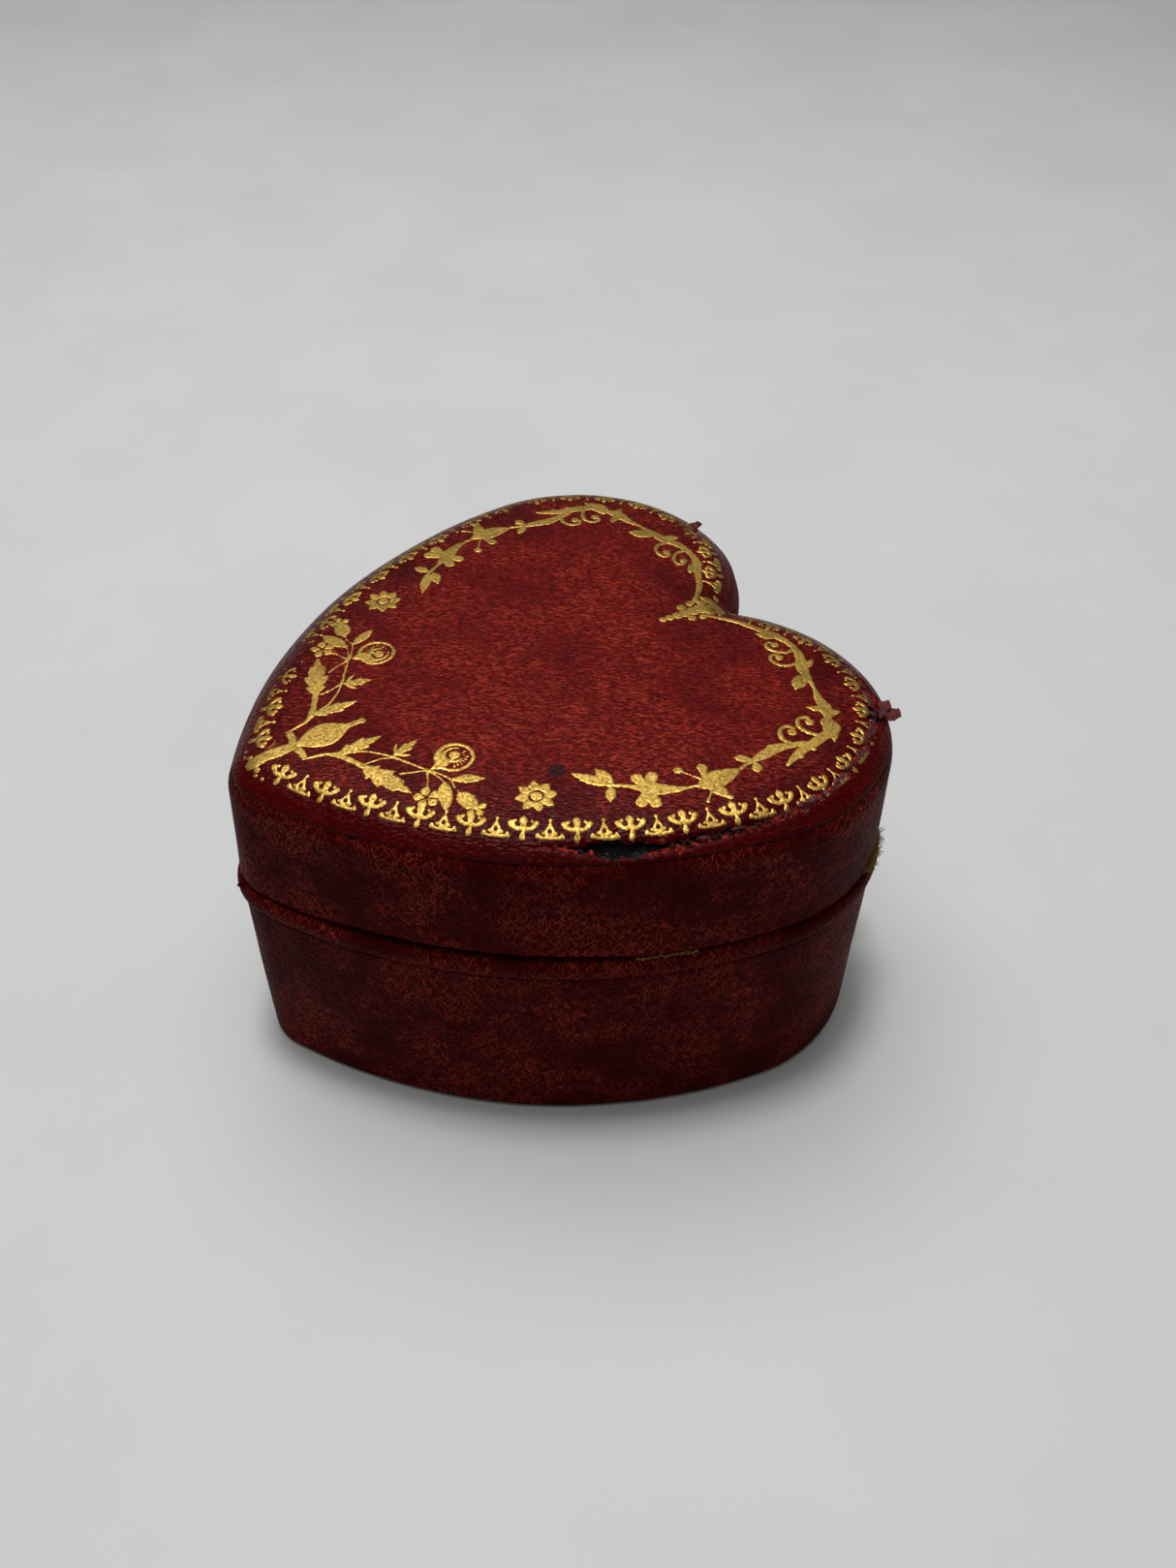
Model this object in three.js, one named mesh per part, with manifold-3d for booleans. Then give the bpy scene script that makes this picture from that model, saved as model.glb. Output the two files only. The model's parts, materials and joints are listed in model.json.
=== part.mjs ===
// Heart-shaped leather jewellery case with a hinged lid.
//
// Millimetres, +Z up. The case stands on Z = 0, the heart's tip points to -Y and its two
// lobes and the hinges are at +Y. The outline is mirrored in the plane X = 0, and the
// origin is under the middle of the whole case.
//
// Every wall, skin and lining follows one heart outline, moved outwards (+) or inwards (-)
// from the outer face of the lid. Pieces that touch keep a gap of GAP to each other.

import * as THREE from 'three';
import { mergeVertices } from 'three/addons/utils/BufferGeometryUtils.js';
import Module from 'manifold-3d';

const wasm = await Module();
wasm.setup();

// ---- Driving dimensions -------------------------------------------------------------

const GAP = 0.3;

// Heart outline, at the outer face of the lid wall
const LOBE_X = 16.4;          // a lobe's centre, either side of the middle
const LOBE_RADIUS = 21.6;
const SIDE_RADIUS = 68.4;     // the long, nearly straight flanks
const TIP_REACH = 55;         // from the lobes' centre line to the tip
const TIP_RADIUS = 7.2;

// Heights
const SEAM_Z = 29.2;          // where lid and base meet
const SHOULDER_Z = 41.8;      // top of the lid's straight wall
const SHOULDER_RISE = 4.6;    // height of the rounded shoulder
const SHOULDER_WIDTH = 5.2;   // how far in the shoulder reaches
const DOME_RISE = 1.2;        // crown of the top inside the shoulder
const TOP_Z = SHOULDER_Z + SHOULDER_RISE + DOME_RISE;

// Thicknesses
const LEATHER = 0.9;
const CORE_OUTER = -1.5;      // outer face of the wall cores
const CORE_INNER = -3.2;
const BOARD = 2;
const CARD = 1;
const LINING = 0.6;

// Base
const BASE_TOP_INSET = -0.4;  // the base wall tapers in slightly towards its foot
const FOOT_INSET = -0.8;
const FOOT_ROUND = 1;
const FOOT_TUCK = 0.25;       // how far the leather draws in again under the foot
const SOLE_INSET = -1.7;
const SOLE_THICKNESS = 0.8;
const BEAD_PROUD = 0.7;       // raised leather bead round the rim
const BEAD_HEIGHT = 2.9;
const COLLAR_OUTER = -3.6;    // leaves 0.4 mm to the lid's wall core
const COLLAR_TOP = SEAM_Z + 4;
const PAD_TOP = 21;
const PAD_BOTTOM = 13.6;
const PAD_CROWN = 1.6;
const PAD_FLAT = 0.7;         // share of a pad's width that is nearly level
const PAD_FLAT_DROP = 0.2;    // share of a pad's crown that is lost at the edge of that

// Lid
const BOARD_DROP = 0.5;       // from the top of the straight wall to the board's underside
const CROWN_STEP = 0.6;       // share of the top's width at the one loop between edge and crown
const SATIN_TOP = 39.4;
const SATIN_BOTTOM = 35.6;
const SATIN_CROWN = 1.5;

// Hinges: one small brass butt hinge on the back of each lobe
const KNUCKLE_RADIUS = 1.1;
const KNUCKLE_LENGTH = 3;
const KNUCKLE_GAP = 0.3;
const BORE_RADIUS = 0.75;
const PIN_RADIUS = 0.45;
const PIN_HEAD_RADIUS = 0.85;
const PIN_HEAD_LENGTH = 0.35;
const LEAF_WIDTH = 3 * KNUCKLE_LENGTH + 2 * KNUCKLE_GAP;
const LEAF_THICKNESS = 0.5;
const LEAF_LIFT = 0.6;        // a leaf's middle, above or below the pin
const NAIL_SPACING = 5.6;
const NAIL_RADIUS = 0.35;
const NAIL_HEAD_RADIUS = 0.7;
const NAIL_HEAD_HEIGHT = 0.25;
const NAIL_HEAD_FLAT = 0.7;   // share of a nail's head that is flat on top
const NAIL_HEAD_ROUND = 0.6;  // share of its height that is rounded
const NAIL_LENGTH = 3.5;
const NAIL_CLEARANCE = 0.02;  // from the seam's plane to a nail's head

// The pin stands just behind the bead; the whole case is centred on the origin.
const PIN_BEHIND_LOBES = LOBE_RADIUS + BEAD_PROUD + GAP;
const BACK = PIN_BEHIND_LOBES + KNUCKLE_RADIUS;
const FRONT = TIP_REACH + BEAD_PROUD;
const LOBE_Y = (FRONT - BACK) / 2;
const PIN_Y = LOBE_Y + PIN_BEHIND_LOBES;
const LEAF_FRONT_Y = LOBE_Y + LOBE_RADIUS + COLLAR_OUTER + GAP;
const LEAF_BACK_Y = PIN_Y - KNUCKLE_RADIUS - GAP;

// The point that the flat and domed faces are drawn around
const HEART_MIDDLE = new THREE.Vector2(0, LOBE_Y - 12);

// Steps round each arc of the outline
const TIP_STEPS = 4;
const SIDE_STEPS = 7;
const LOBE_STEPS = 16;
const NOSE_STEPS = 3;
const NOSE_SLIVER = 0.03;     // radians of a lobe kept for the nose points of an outer outline

// ---- Finishes -----------------------------------------------------------------------

const finish = (color, roughness, metalness = 0) => () =>
  new THREE.MeshStandardMaterial({ color, roughness, metalness });

const redLeather = finish(0x6e1418, 0.45);
const limeWood = finish(0xc9a877, 0.7);
const card = finish(0xb89f7a, 0.9);
const velvet = finish(0xa8772c, 0.95);
const satin = finish(0xe6d6b4, 0.35);
const wadding = finish(0xe8e2d4, 1);
const paper = finish(0x3a2320, 0.85);
const brass = finish(0xb08d3f, 0.35, 1);

// ---- Outline ------------------------------------------------------------------------

// The centre of the flank's arc on the +X side: it is tangent inside to the lobe's circle
// and to the tip's.
function flankCentre(lobe, tip) {
  const toLobe = SIDE_RADIUS - LOBE_RADIUS;
  const toTip = SIDE_RADIUS - TIP_RADIUS;
  const span = lobe.distanceTo(tip);
  const along = tip.clone().sub(lobe).normalize();
  const across = new THREE.Vector2(along.y, -along.x);
  const run = (toLobe ** 2 - toTip ** 2 + span ** 2) / (2 * span);
  const rise = Math.sqrt(toLobe ** 2 - run ** 2);
  return lobe.clone().addScaledVector(along, run).addScaledVector(across, rise);
}

function arc(centre, radius, from, to, steps) {
  return Array.from({ length: steps }, (_, i) => {
    const angle = from + ((to - from) * i) / steps;
    return new THREE.Vector2(
      centre.x + radius * Math.cos(angle),
      centre.y + radius * Math.sin(angle),
    );
  });
}

// The heart outline moved outwards by `offset`, anticlockwise from the tip. Inside the wall
// the cleft becomes a round nose about the outer cleft point. All outlines have the same
// number of points, so any two can be joined by a skin.
function heart(offset) {
  const lobe = new THREE.Vector2(LOBE_X, LOBE_Y);
  const tip = new THREE.Vector2(0, LOBE_Y - TIP_REACH + TIP_RADIUS);
  const flank = flankCentre(lobe, tip);
  const bearing = (p) => Math.atan2(p.y - flank.y, p.x - flank.x);
  const [atTip, atLobe] = [bearing(tip), bearing(lobe)];
  const lobeRadius = LOBE_RADIUS + offset;
  const meeting = (radius) => Math.PI - Math.acos(LOBE_X / radius);
  const inwards = offset < 0;
  const lobeEnd = inwards ? meeting(LOBE_RADIUS) : meeting(lobeRadius) - NOSE_SLIVER;
  const cleftRise = (radius) => Math.sqrt(radius ** 2 - LOBE_X ** 2);
  const cleft = new THREE.Vector2(0, LOBE_Y + cleftRise(inwards ? LOBE_RADIUS : lobeRadius));
  const nose = inwards
    ? arc(cleft, -offset, lobeEnd - Math.PI, -Math.PI / 2, NOSE_STEPS)
    : arc(lobe, lobeRadius, lobeEnd, meeting(lobeRadius), NOSE_STEPS);
  const right = [
    ...arc(tip, TIP_RADIUS + offset, -Math.PI / 2, atTip, TIP_STEPS),
    ...arc(flank, SIDE_RADIUS + offset, atTip, atLobe, SIDE_STEPS),
    ...arc(lobe, lobeRadius, atLobe, lobeEnd, LOBE_STEPS),
    ...nose,
  ];
  const noseTip = new THREE.Vector2(0, cleft.y + Math.min(offset, 0));
  const left = right.slice(1).reverse().map((p) => new THREE.Vector2(-p.x, p.y));
  return [...right, noseTip, ...left];
}

const ring = (offset, z) => heart(offset).map((p) => new THREE.Vector3(p.x, p.y, z));

// An outline shrunk evenly towards the heart's middle, for the crown of a dome or a pad
const shrunk = (offset, z, scale) => heart(offset).map((p) => {
  const q = p.clone().sub(HEART_MIDDLE).multiplyScalar(scale).add(HEART_MIDDLE);
  return new THREE.Vector3(q.x, q.y, z);
});

const middle = (z) => [new THREE.Vector3(HEART_MIDDLE.x, HEART_MIDDLE.y, z)];

// ---- Solids -------------------------------------------------------------------------

// Joins each loop of points to the next. A loop of one point closes the skin in a fan.
// `closed` also joins the last loop to the first, which makes a hollow ring.
function skin(loops, closed = false) {
  const positions = loops.flat().flatMap((p) => [p.x, p.y, p.z]);
  const starts = [];
  loops.reduce((start, loop) => {
    starts.push(start);
    return start + loop.length;
  }, 0);
  const indices = [];
  const bands = closed ? loops.length : loops.length - 1;
  for (let band = 0; band < bands; band++) {
    const next = (band + 1) % loops.length;
    const [a, b] = [starts[band], starts[next]];
    const [sizeA, sizeB] = [loops[band].length, loops[next].length];
    for (let i = 0; i < Math.max(sizeA, sizeB); i++) {
      const [a0, a1] = [a + (i % sizeA), a + ((i + 1) % sizeA)];
      const [b0, b1] = [b + (i % sizeB), b + ((i + 1) % sizeB)];
      if (sizeA > 1) indices.push(a0, a1, b1);
      if (sizeB > 1) indices.push(a0, b1, b0);
    }
  }
  const geometry = new THREE.BufferGeometry();
  geometry.setAttribute('position', new THREE.Float32BufferAttribute(positions, 3));
  geometry.setIndex(indices);
  geometry.computeVertexNormals();
  return geometry;
}

// A flat heart-shaped plate, or a straight-walled ring when `inner` is given
function plate(outer, bottom, top, inner) {
  const shape = new THREE.Shape(heart(outer));
  if (inner !== undefined) shape.holes.push(new THREE.Path(heart(inner).reverse()));
  const geometry = new THREE.ExtrudeGeometry(shape, { depth: top - bottom, bevelEnabled: false });
  return geometry.translate(0, 0, bottom);
}

const wall = (outer, inner, bottom, top) => plate(outer, bottom, top, inner);

function toSolid(geometry) {
  const bare = geometry.clone();
  bare.deleteAttribute('normal');
  if (bare.hasAttribute('uv')) bare.deleteAttribute('uv');
  const merged = mergeVertices(bare, 1e-4);
  return new wasm.Manifold(new wasm.Mesh({
    numProp: 3,
    vertProperties: Float32Array.from(merged.attributes.position.array),
    triVerts: Uint32Array.from(merged.index.array),
  }));
}

function fromSolid(solid) {
  const { vertProperties, triVerts } = solid.getMesh();
  const geometry = new THREE.BufferGeometry();
  geometry.setAttribute('position', new THREE.BufferAttribute(vertProperties, 3));
  geometry.setIndex(new THREE.BufferAttribute(triVerts, 1));
  geometry.computeVertexNormals();
  return geometry;
}

function cut(geometry, cutters) {
  const solid = cutters.reduce((rest, cutter) => rest.subtract(toSolid(cutter)), toSolid(geometry));
  return fromSolid(solid);
}

function join(geometries) {
  return fromSolid(geometries.map(toSolid).reduce((all, next) => all.add(next)));
}

function box(x, y, z, width, depth, height) {
  return new THREE.BoxGeometry(width, depth, height).translate(x, y, z);
}

function rodAlongX(x, radius, length, sides = 14) {
  const rod = new THREE.CylinderGeometry(radius, radius, length, sides);
  return rod.rotateZ(Math.PI / 2).translate(x, PIN_Y, SEAM_Z);
}

// ---- Hinges -------------------------------------------------------------------------

// Room for a hinge in the walls: round the knuckles, and for a leaf let into the rim
function hingeRoom(x, side) {
  const width = LEAF_WIDTH + 2 * GAP;
  const depth = PIN_Y - LEAF_FRONT_Y + GAP;
  const height = LEAF_LIFT + LEAF_THICKNESS / 2 + GAP;
  return [
    rodAlongX(x, KNUCKLE_RADIUS + GAP, width),
    box(x, PIN_Y - depth / 2, SEAM_Z + (side * height) / 2, width, depth, height),
  ];
}

const hingeRooms = (side) => [-LOBE_X, LOBE_X].flatMap((x) => hingeRoom(x, side));

function knuckle(x, leafZ) {
  const barrel = rodAlongX(x, KNUCKLE_RADIUS, KNUCKLE_LENGTH);
  const tab = box(x, (PIN_Y + LEAF_BACK_Y) / 2 - GAP, leafZ,
    KNUCKLE_LENGTH, PIN_Y - LEAF_BACK_Y, LEAF_THICKNESS);
  return [barrel, tab];
}

const nailPlaces = (x) => [x - NAIL_SPACING / 2, x + NAIL_SPACING / 2];

// The nails stand in the middle of the wall core, which curves away from the leaf's middle.
const NAIL_CORE_RADIUS = LOBE_RADIUS + (CORE_OUTER + CORE_INNER) / 2;
const NAIL_Y = LOBE_Y + Math.sqrt(NAIL_CORE_RADIUS ** 2 - (NAIL_SPACING / 2) ** 2);

// The hole for a nail through a leaf and into the wall core, on one side of the seam
function nailHole(x, side) {
  const radius = NAIL_RADIUS + GAP;
  const depth = NAIL_LENGTH + GAP;
  const hole = new THREE.CylinderGeometry(radius, radius, depth, 12);
  return hole.rotateX(Math.PI / 2).translate(x, NAIL_Y, SEAM_Z + (side * depth) / 2);
}

const nailHoles = (side) =>
  [-LOBE_X, LOBE_X].flatMap(nailPlaces).map((x) => nailHole(x, side));

// side is -1 for the base's leaf with its two outer knuckles, and +1 for the lid's leaf
// with the middle one.
function hingeLeaf(x, side) {
  const leafZ = SEAM_Z + side * LEAF_LIFT;
  const step = KNUCKLE_LENGTH + KNUCKLE_GAP;
  const places = side > 0 ? [x] : [x - step, x + step];
  const leaf = box(x, (LEAF_FRONT_Y + LEAF_BACK_Y) / 2, leafZ,
    LEAF_WIDTH, LEAF_BACK_Y - LEAF_FRONT_Y, LEAF_THICKNESS);
  const whole = join([leaf, ...places.flatMap((place) => knuckle(place, leafZ))]);
  const bore = rodAlongX(x, BORE_RADIUS, LEAF_WIDTH + 1);
  const holes = nailPlaces(x).map((place) => nailHole(place, side));
  return cut(whole, [bore, ...holes]);
}

function hingePin(x) {
  const shaft = rodAlongX(x, PIN_RADIUS, LEAF_WIDTH + 2 * GAP, 12);
  const headAt = LEAF_WIDTH / 2 + GAP + PIN_HEAD_LENGTH / 2;
  const heads = [-headAt, headAt].map((shift) =>
    rodAlongX(x + shift, PIN_HEAD_RADIUS, PIN_HEAD_LENGTH, 12));
  return join([shaft, ...heads]);
}

// A round-headed nail through a leaf into the wall core, its head in the seam
function nail(x, side) {
  const headZ = SEAM_Z + side * NAIL_CLEARANCE;
  const profile = [
    [0, 0],
    [NAIL_HEAD_RADIUS * NAIL_HEAD_FLAT, 0],
    [NAIL_HEAD_RADIUS, NAIL_HEAD_HEIGHT * NAIL_HEAD_ROUND],
    [NAIL_HEAD_RADIUS, NAIL_HEAD_HEIGHT],
    [NAIL_RADIUS, NAIL_HEAD_HEIGHT],
    [NAIL_RADIUS, NAIL_LENGTH - NAIL_RADIUS],
    [0, NAIL_LENGTH],
  ].map(([r, h]) => new THREE.Vector2(r, h));
  const geometry = new THREE.LatheGeometry(profile, 8).rotateX(Math.PI / 2);
  if (side < 0) geometry.rotateX(Math.PI);
  return geometry.translate(x, NAIL_Y, headZ);
}

// ---- Base ---------------------------------------------------------------------------

const BASE_CORE_BOTTOM = 1.1;
const FLOOR_TOP = BASE_CORE_BOTTOM + BOARD;
const BEAD_TOP = SEAM_Z - GAP;
const BEAD_BOTTOM = BEAD_TOP - BEAD_HEIGHT;

const baseSole = () => plate(SOLE_INSET, 0, SOLE_THICKNESS);
const baseFloorBoard = () => plate(CORE_INNER - GAP, BASE_CORE_BOTTOM, FLOOR_TOP);
const baseWallCore = () => cut(
  wall(CORE_OUTER, CORE_INNER, BASE_CORE_BOTTOM, BEAD_TOP),
  [...hingeRooms(-1), ...nailHoles(-1)],
);

function baseSideLeather() {
  const inner = CORE_OUTER + GAP;
  return skin([
    ring(FOOT_INSET - FOOT_TUCK, GAP),
    ring(FOOT_INSET, GAP + FOOT_ROUND),
    ring(BASE_TOP_INSET, BEAD_BOTTOM - GAP),
    ring(inner, BEAD_BOTTOM - GAP),
    ring(inner, GAP),
  ], true);
}

function baseRimBead() {
  const middleZ = (BEAD_TOP + BEAD_BOTTOM) / 2;
  const steps = 4;
  const bulge = Array.from({ length: steps + 1 }, (_, i) => {
    const angle = -Math.PI / 2 + (Math.PI * i) / steps;
    const offset = BASE_TOP_INSET + (BEAD_PROUD - BASE_TOP_INSET) * Math.cos(angle);
    return ring(offset, middleZ + (BEAD_HEIGHT / 2) * Math.sin(angle));
  });
  const inner = CORE_OUTER + GAP;
  return cut(skin([...bulge, ring(inner, BEAD_TOP), ring(inner, BEAD_BOTTOM)], true), hingeRooms(-1));
}

const baseCollar = () =>
  wall(COLLAR_OUTER, COLLAR_OUTER - CARD, FLOOR_TOP + GAP, COLLAR_TOP);

const VELVET_OUTER = COLLAR_OUTER - CARD - GAP;
const VELVET_INNER = VELVET_OUTER - LINING;
const baseCollarVelvet = () => wall(VELVET_OUTER, VELVET_INNER, FLOOR_TOP + GAP, COLLAR_TOP);

const PAD_EDGE = VELVET_INNER - GAP;
const PAD_BOARD_TOP = PAD_BOTTOM - GAP;
const baseWadding = () =>
  plate(PAD_EDGE - GAP, FLOOR_TOP + GAP, PAD_BOARD_TOP - CARD - GAP);
const basePadBoard = () => plate(PAD_EDGE, PAD_BOARD_TOP - CARD, PAD_BOARD_TOP);

// A crowned pad between two heights; its crown is on the side that `crownZ` is on.
function pad(edge, flatZ, crownZ, crown) {
  const up = Math.sign(crownZ - flatZ);
  const loops = [
    middle(flatZ),
    ring(edge, flatZ),
    ring(edge, crownZ - up * crown),
    shrunk(edge, crownZ - up * crown * PAD_FLAT_DROP, PAD_FLAT),
    middle(crownZ),
  ];
  return skin(up > 0 ? loops : loops.reverse());
}

const baseVelvetPad = () => pad(PAD_EDGE, PAD_BOTTOM, PAD_TOP, PAD_CROWN);

// ---- Lid ----------------------------------------------------------------------------

const LID_RIM_Z = SEAM_Z + GAP;
const LID_BOARD_BOTTOM = SHOULDER_Z - BOARD_DROP;

// Loops of the lid's domed outside, `depth` below its surface, from the straight wall up
// over the quarter-round shoulder to the crown
function domeLoops(depth, startZ) {
  const steps = 4;
  const shoulder = Array.from({ length: steps + 1 }, (_, i) => {
    const angle = (Math.PI / 2) * (i / steps);
    const inset = depth + (SHOULDER_WIDTH - depth) * (1 - Math.cos(angle));
    return ring(-inset, SHOULDER_Z + (SHOULDER_RISE - depth) * Math.sin(angle));
  });
  const crownZ = TOP_Z - depth - DOME_RISE * CROWN_STEP ** 2;
  const crown = shrunk(-SHOULDER_WIDTH, crownZ, CROWN_STEP);
  return [ring(-depth, startZ), ...shoulder, crown, middle(TOP_Z - depth)];
}

// The top leather is turned down over the shoulder and meets the side leather here.
const CREASE_Z = SHOULDER_Z - GAP;

const lidSideLeather = () =>
  cut(wall(0, -LEATHER, LID_RIM_Z, CREASE_Z - GAP), hingeRooms(1));

function lidTopLeather() {
  const outside = domeLoops(0, CREASE_Z);
  const inside = domeLoops(LEATHER, CREASE_Z).reverse();
  return skin([...outside, ...inside], true);
}

const lidWallCore = () => cut(
  wall(CORE_OUTER, CORE_INNER, LID_RIM_Z, LID_BOARD_BOTTOM - GAP),
  [...hingeRooms(1), ...nailHoles(1)],
);

const lidTopBoard = () =>
  skin([middle(LID_BOARD_BOTTOM), ...domeLoops(LEATHER + GAP, LID_BOARD_BOTTOM)]);

const LINING_OUTER = CORE_INNER - GAP;
const lidLiningBoard = () => plate(LINING_OUTER, SATIN_TOP + GAP, LID_BOARD_BOTTOM - GAP);
const lidWallLining = () =>
  wall(LINING_OUTER, LINING_OUTER - LINING, COLLAR_TOP + GAP, SATIN_TOP);
const lidSatinPad = () =>
  pad(LINING_OUTER - LINING - GAP, SATIN_TOP, SATIN_BOTTOM, SATIN_CROWN);

// ---- Assembly -----------------------------------------------------------------------

function piece(name, geometry, material) {
  const mesh = new THREE.Mesh(geometry, material());
  mesh.name = name;
  return mesh;
}

function hingeHalf(half, side) {
  return [['left', -LOBE_X], ['right', LOBE_X]].flatMap(([hand, x]) => [
    piece(`hinge_leaf_${half}_${hand}`, hingeLeaf(x, side), brass),
    ...nailPlaces(x).map((place, i) =>
      piece(`nail_${half}_${hand}_${i + 1}`, nail(place, side), brass)),
  ]);
}

const base = new THREE.Group();
base.add(
  piece('base_sole', baseSole(), paper),
  piece('base_floor_board', baseFloorBoard(), limeWood),
  piece('base_wall_core', baseWallCore(), limeWood),
  piece('base_side_leather', baseSideLeather(), redLeather),
  piece('base_rim_bead', baseRimBead(), redLeather),
  piece('base_collar', baseCollar(), card),
  piece('base_collar_velvet', baseCollarVelvet(), velvet),
  piece('base_wadding', baseWadding(), wadding),
  piece('base_pad_board', basePadBoard(), card),
  piece('base_velvet_pad', baseVelvetPad(), velvet),
  ...hingeHalf('base', -1),
  piece('hinge_pin_left', hingePin(-LOBE_X), brass),
  piece('hinge_pin_right', hingePin(LOBE_X), brass),
);

const lid = new THREE.Group();
lid.add(
  piece('lid_wall_core', lidWallCore(), limeWood),
  piece('lid_top_board', lidTopBoard(), limeWood),
  piece('lid_side_leather', lidSideLeather(), redLeather),
  piece('lid_top_leather', lidTopLeather(), redLeather),
  piece('lid_lining_board', lidLiningBoard(), card),
  piece('lid_wall_lining', lidWallLining(), satin),
  piece('lid_satin_pad', lidSatinPad(), satin),
  ...hingeHalf('lid', 1),
);

const jewelleryCase = new THREE.Group();
jewelleryCase.add(base, lid);

export default jewelleryCase;
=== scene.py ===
"""Looks for a heart-shaped leather jewellery case: gilt-tooled goatskin, velvet, satin and brass.

Helper functions work in millimetres; build_mesh() turns them into metres. Every outline
follows one heart, moved outwards (+) or inwards (-) from the outer face of the lid.
"""

import json
import math

import bpy
import numpy as np
from mathutils import Matrix, Vector


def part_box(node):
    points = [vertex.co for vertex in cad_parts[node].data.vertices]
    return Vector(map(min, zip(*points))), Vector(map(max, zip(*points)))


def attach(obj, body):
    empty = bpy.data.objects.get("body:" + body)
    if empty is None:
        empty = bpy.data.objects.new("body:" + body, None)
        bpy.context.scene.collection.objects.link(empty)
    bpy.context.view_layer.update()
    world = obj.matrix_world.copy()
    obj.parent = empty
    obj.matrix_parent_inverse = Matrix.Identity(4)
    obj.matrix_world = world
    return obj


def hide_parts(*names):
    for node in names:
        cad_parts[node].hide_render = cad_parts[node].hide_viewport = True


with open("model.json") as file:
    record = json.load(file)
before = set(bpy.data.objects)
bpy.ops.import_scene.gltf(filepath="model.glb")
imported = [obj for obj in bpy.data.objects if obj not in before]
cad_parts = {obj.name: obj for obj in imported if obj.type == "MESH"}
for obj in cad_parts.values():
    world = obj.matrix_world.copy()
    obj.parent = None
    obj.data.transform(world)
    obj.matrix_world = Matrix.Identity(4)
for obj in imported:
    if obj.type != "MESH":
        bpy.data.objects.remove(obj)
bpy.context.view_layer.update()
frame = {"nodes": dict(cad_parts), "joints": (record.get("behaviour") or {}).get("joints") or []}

MM = 0.001
HALF_TURN = math.pi
QUARTER_TURN = math.pi / 2

# ---- Sizes --------------------------------------------------------------------------


def low_mm(node):
    """Lowest corner of a frame node, in mm."""
    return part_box(node)[0] / MM


def high_mm(node):
    """Highest corner of a frame node, in mm."""
    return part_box(node)[1] / MM


# The heart outline, as the frame's parts are cut
LOBE_X = 16.4
LOBE_RADIUS = 21.6
SIDE_RADIUS = 68.4
TIP_REACH = 55
TIP_RADIUS = 7.2
LOBE_Y = low_mm("lid_side_leather").y + TIP_REACH

# Heights
HINGE = Vector(frame["joints"][0]["pos_m"]) / MM
SEAM_Z = HINGE.z
CREASE_GAP = 0.6
SHOULDER_Z = high_mm("lid_side_leather").z + CREASE_GAP
SHOULDER_RISE = 4.6
SHOULDER_WIDTH = 5.2
DOME_RISE = high_mm("lid_top_leather").z - SHOULDER_Z - SHOULDER_RISE
BEAD_TOP = high_mm("base_rim_bead").z
BEAD_BOTTOM = low_mm("base_rim_bead").z
BEAD_PROUD = high_mm("base_rim_bead").x - LOBE_X - LOBE_RADIUS
COLLAR_TOP = high_mm("base_collar").z
COLLAR_OUTER = high_mm("base_collar").x - LOBE_X - LOBE_RADIUS
COLLAR_THICKNESS = 1.9    # card with velvet on both faces
COLLAR_INNER = COLLAR_OUTER - COLLAR_THICKNESS
RIM_INNER = -3.1          # inner face of the walls
NOTCH_SIDE_GAP = 0.25     # room round each hinge in its notch
NOTCH_FRONT_GAP = 0.2
NOTCH_END_GAP = 0.15
HINGE_X = (low_mm("hinge_pin_right").x + high_mm("hinge_pin_right").x) / 2
HINGE_HALF = (high_mm("hinge_pin_right").x - low_mm("hinge_pin_right").x) / 2 + NOTCH_SIDE_GAP
LEAF_FRONT = low_mm("hinge_leaf_base_right").y - NOTCH_FRONT_GAP
LEAF_LOW = low_mm("hinge_leaf_base_right").z - NOTCH_END_GAP
LEAF_HIGH = high_mm("hinge_leaf_lid_right").z + NOTCH_END_GAP
PAD_EDGE = high_mm("base_velvet_pad").x - LOBE_X - LOBE_RADIUS
SATIN_EDGE = high_mm("lid_satin_pad").x - LOBE_X - LOBE_RADIUS

# Leather details
TIP_LEAN = 0.65           # how far the top of the lid's point leans in
CREASE_ANGLE = 0.5        # where the top leather's edge lies on the rounded shoulder
SKIN_STEP = 0.2           # how far that edge stands up
FRIEZE_ANGLE = 1.04       # outer edge of the gilt roll on the shoulder
FRIEZE_PITCH = 6.17       # one pair of motifs to the next, along the outline
FRIEZE_START = 5.9        # from the tip to the first pair
FRIEZE_PAIRS = 19
FAR_SHIFT = 0.7           # the left-hand scroll was stamped a little nearer the edge
FOIL_RISE = 0.05          # how far the leaf stands over the skin
FOIL_SUNK = 0.03          # how far its edges go into it
FOIL_PITCH = 0.11         # grid on which the gilt shapes are drawn

MIDDLE_DROP = 12          # from the line through the lobes' centres
DOME_RIPPLE = 0.06        # unevenness of the hand-made top
HEART_MIDDLE = np.array([0.0, LOBE_Y - MIDDLE_DROP])
LOBE = np.array([LOBE_X, LOBE_Y])
TIP = np.array([0.0, LOBE_Y - TIP_REACH + TIP_RADIUS])
CLEFT = np.array([0.0, LOBE_Y + math.sqrt(LOBE_RADIUS**2 - LOBE_X**2)])

# ---- The heart outline --------------------------------------------------------------

TIP_STEPS, FLANK_STEPS, LOBE_STEPS, NOSE_STEPS = 16, 112, 156, 9
NOSE_SLIVER = 0.03
ARC_OVERLAP = 0.001


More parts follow.
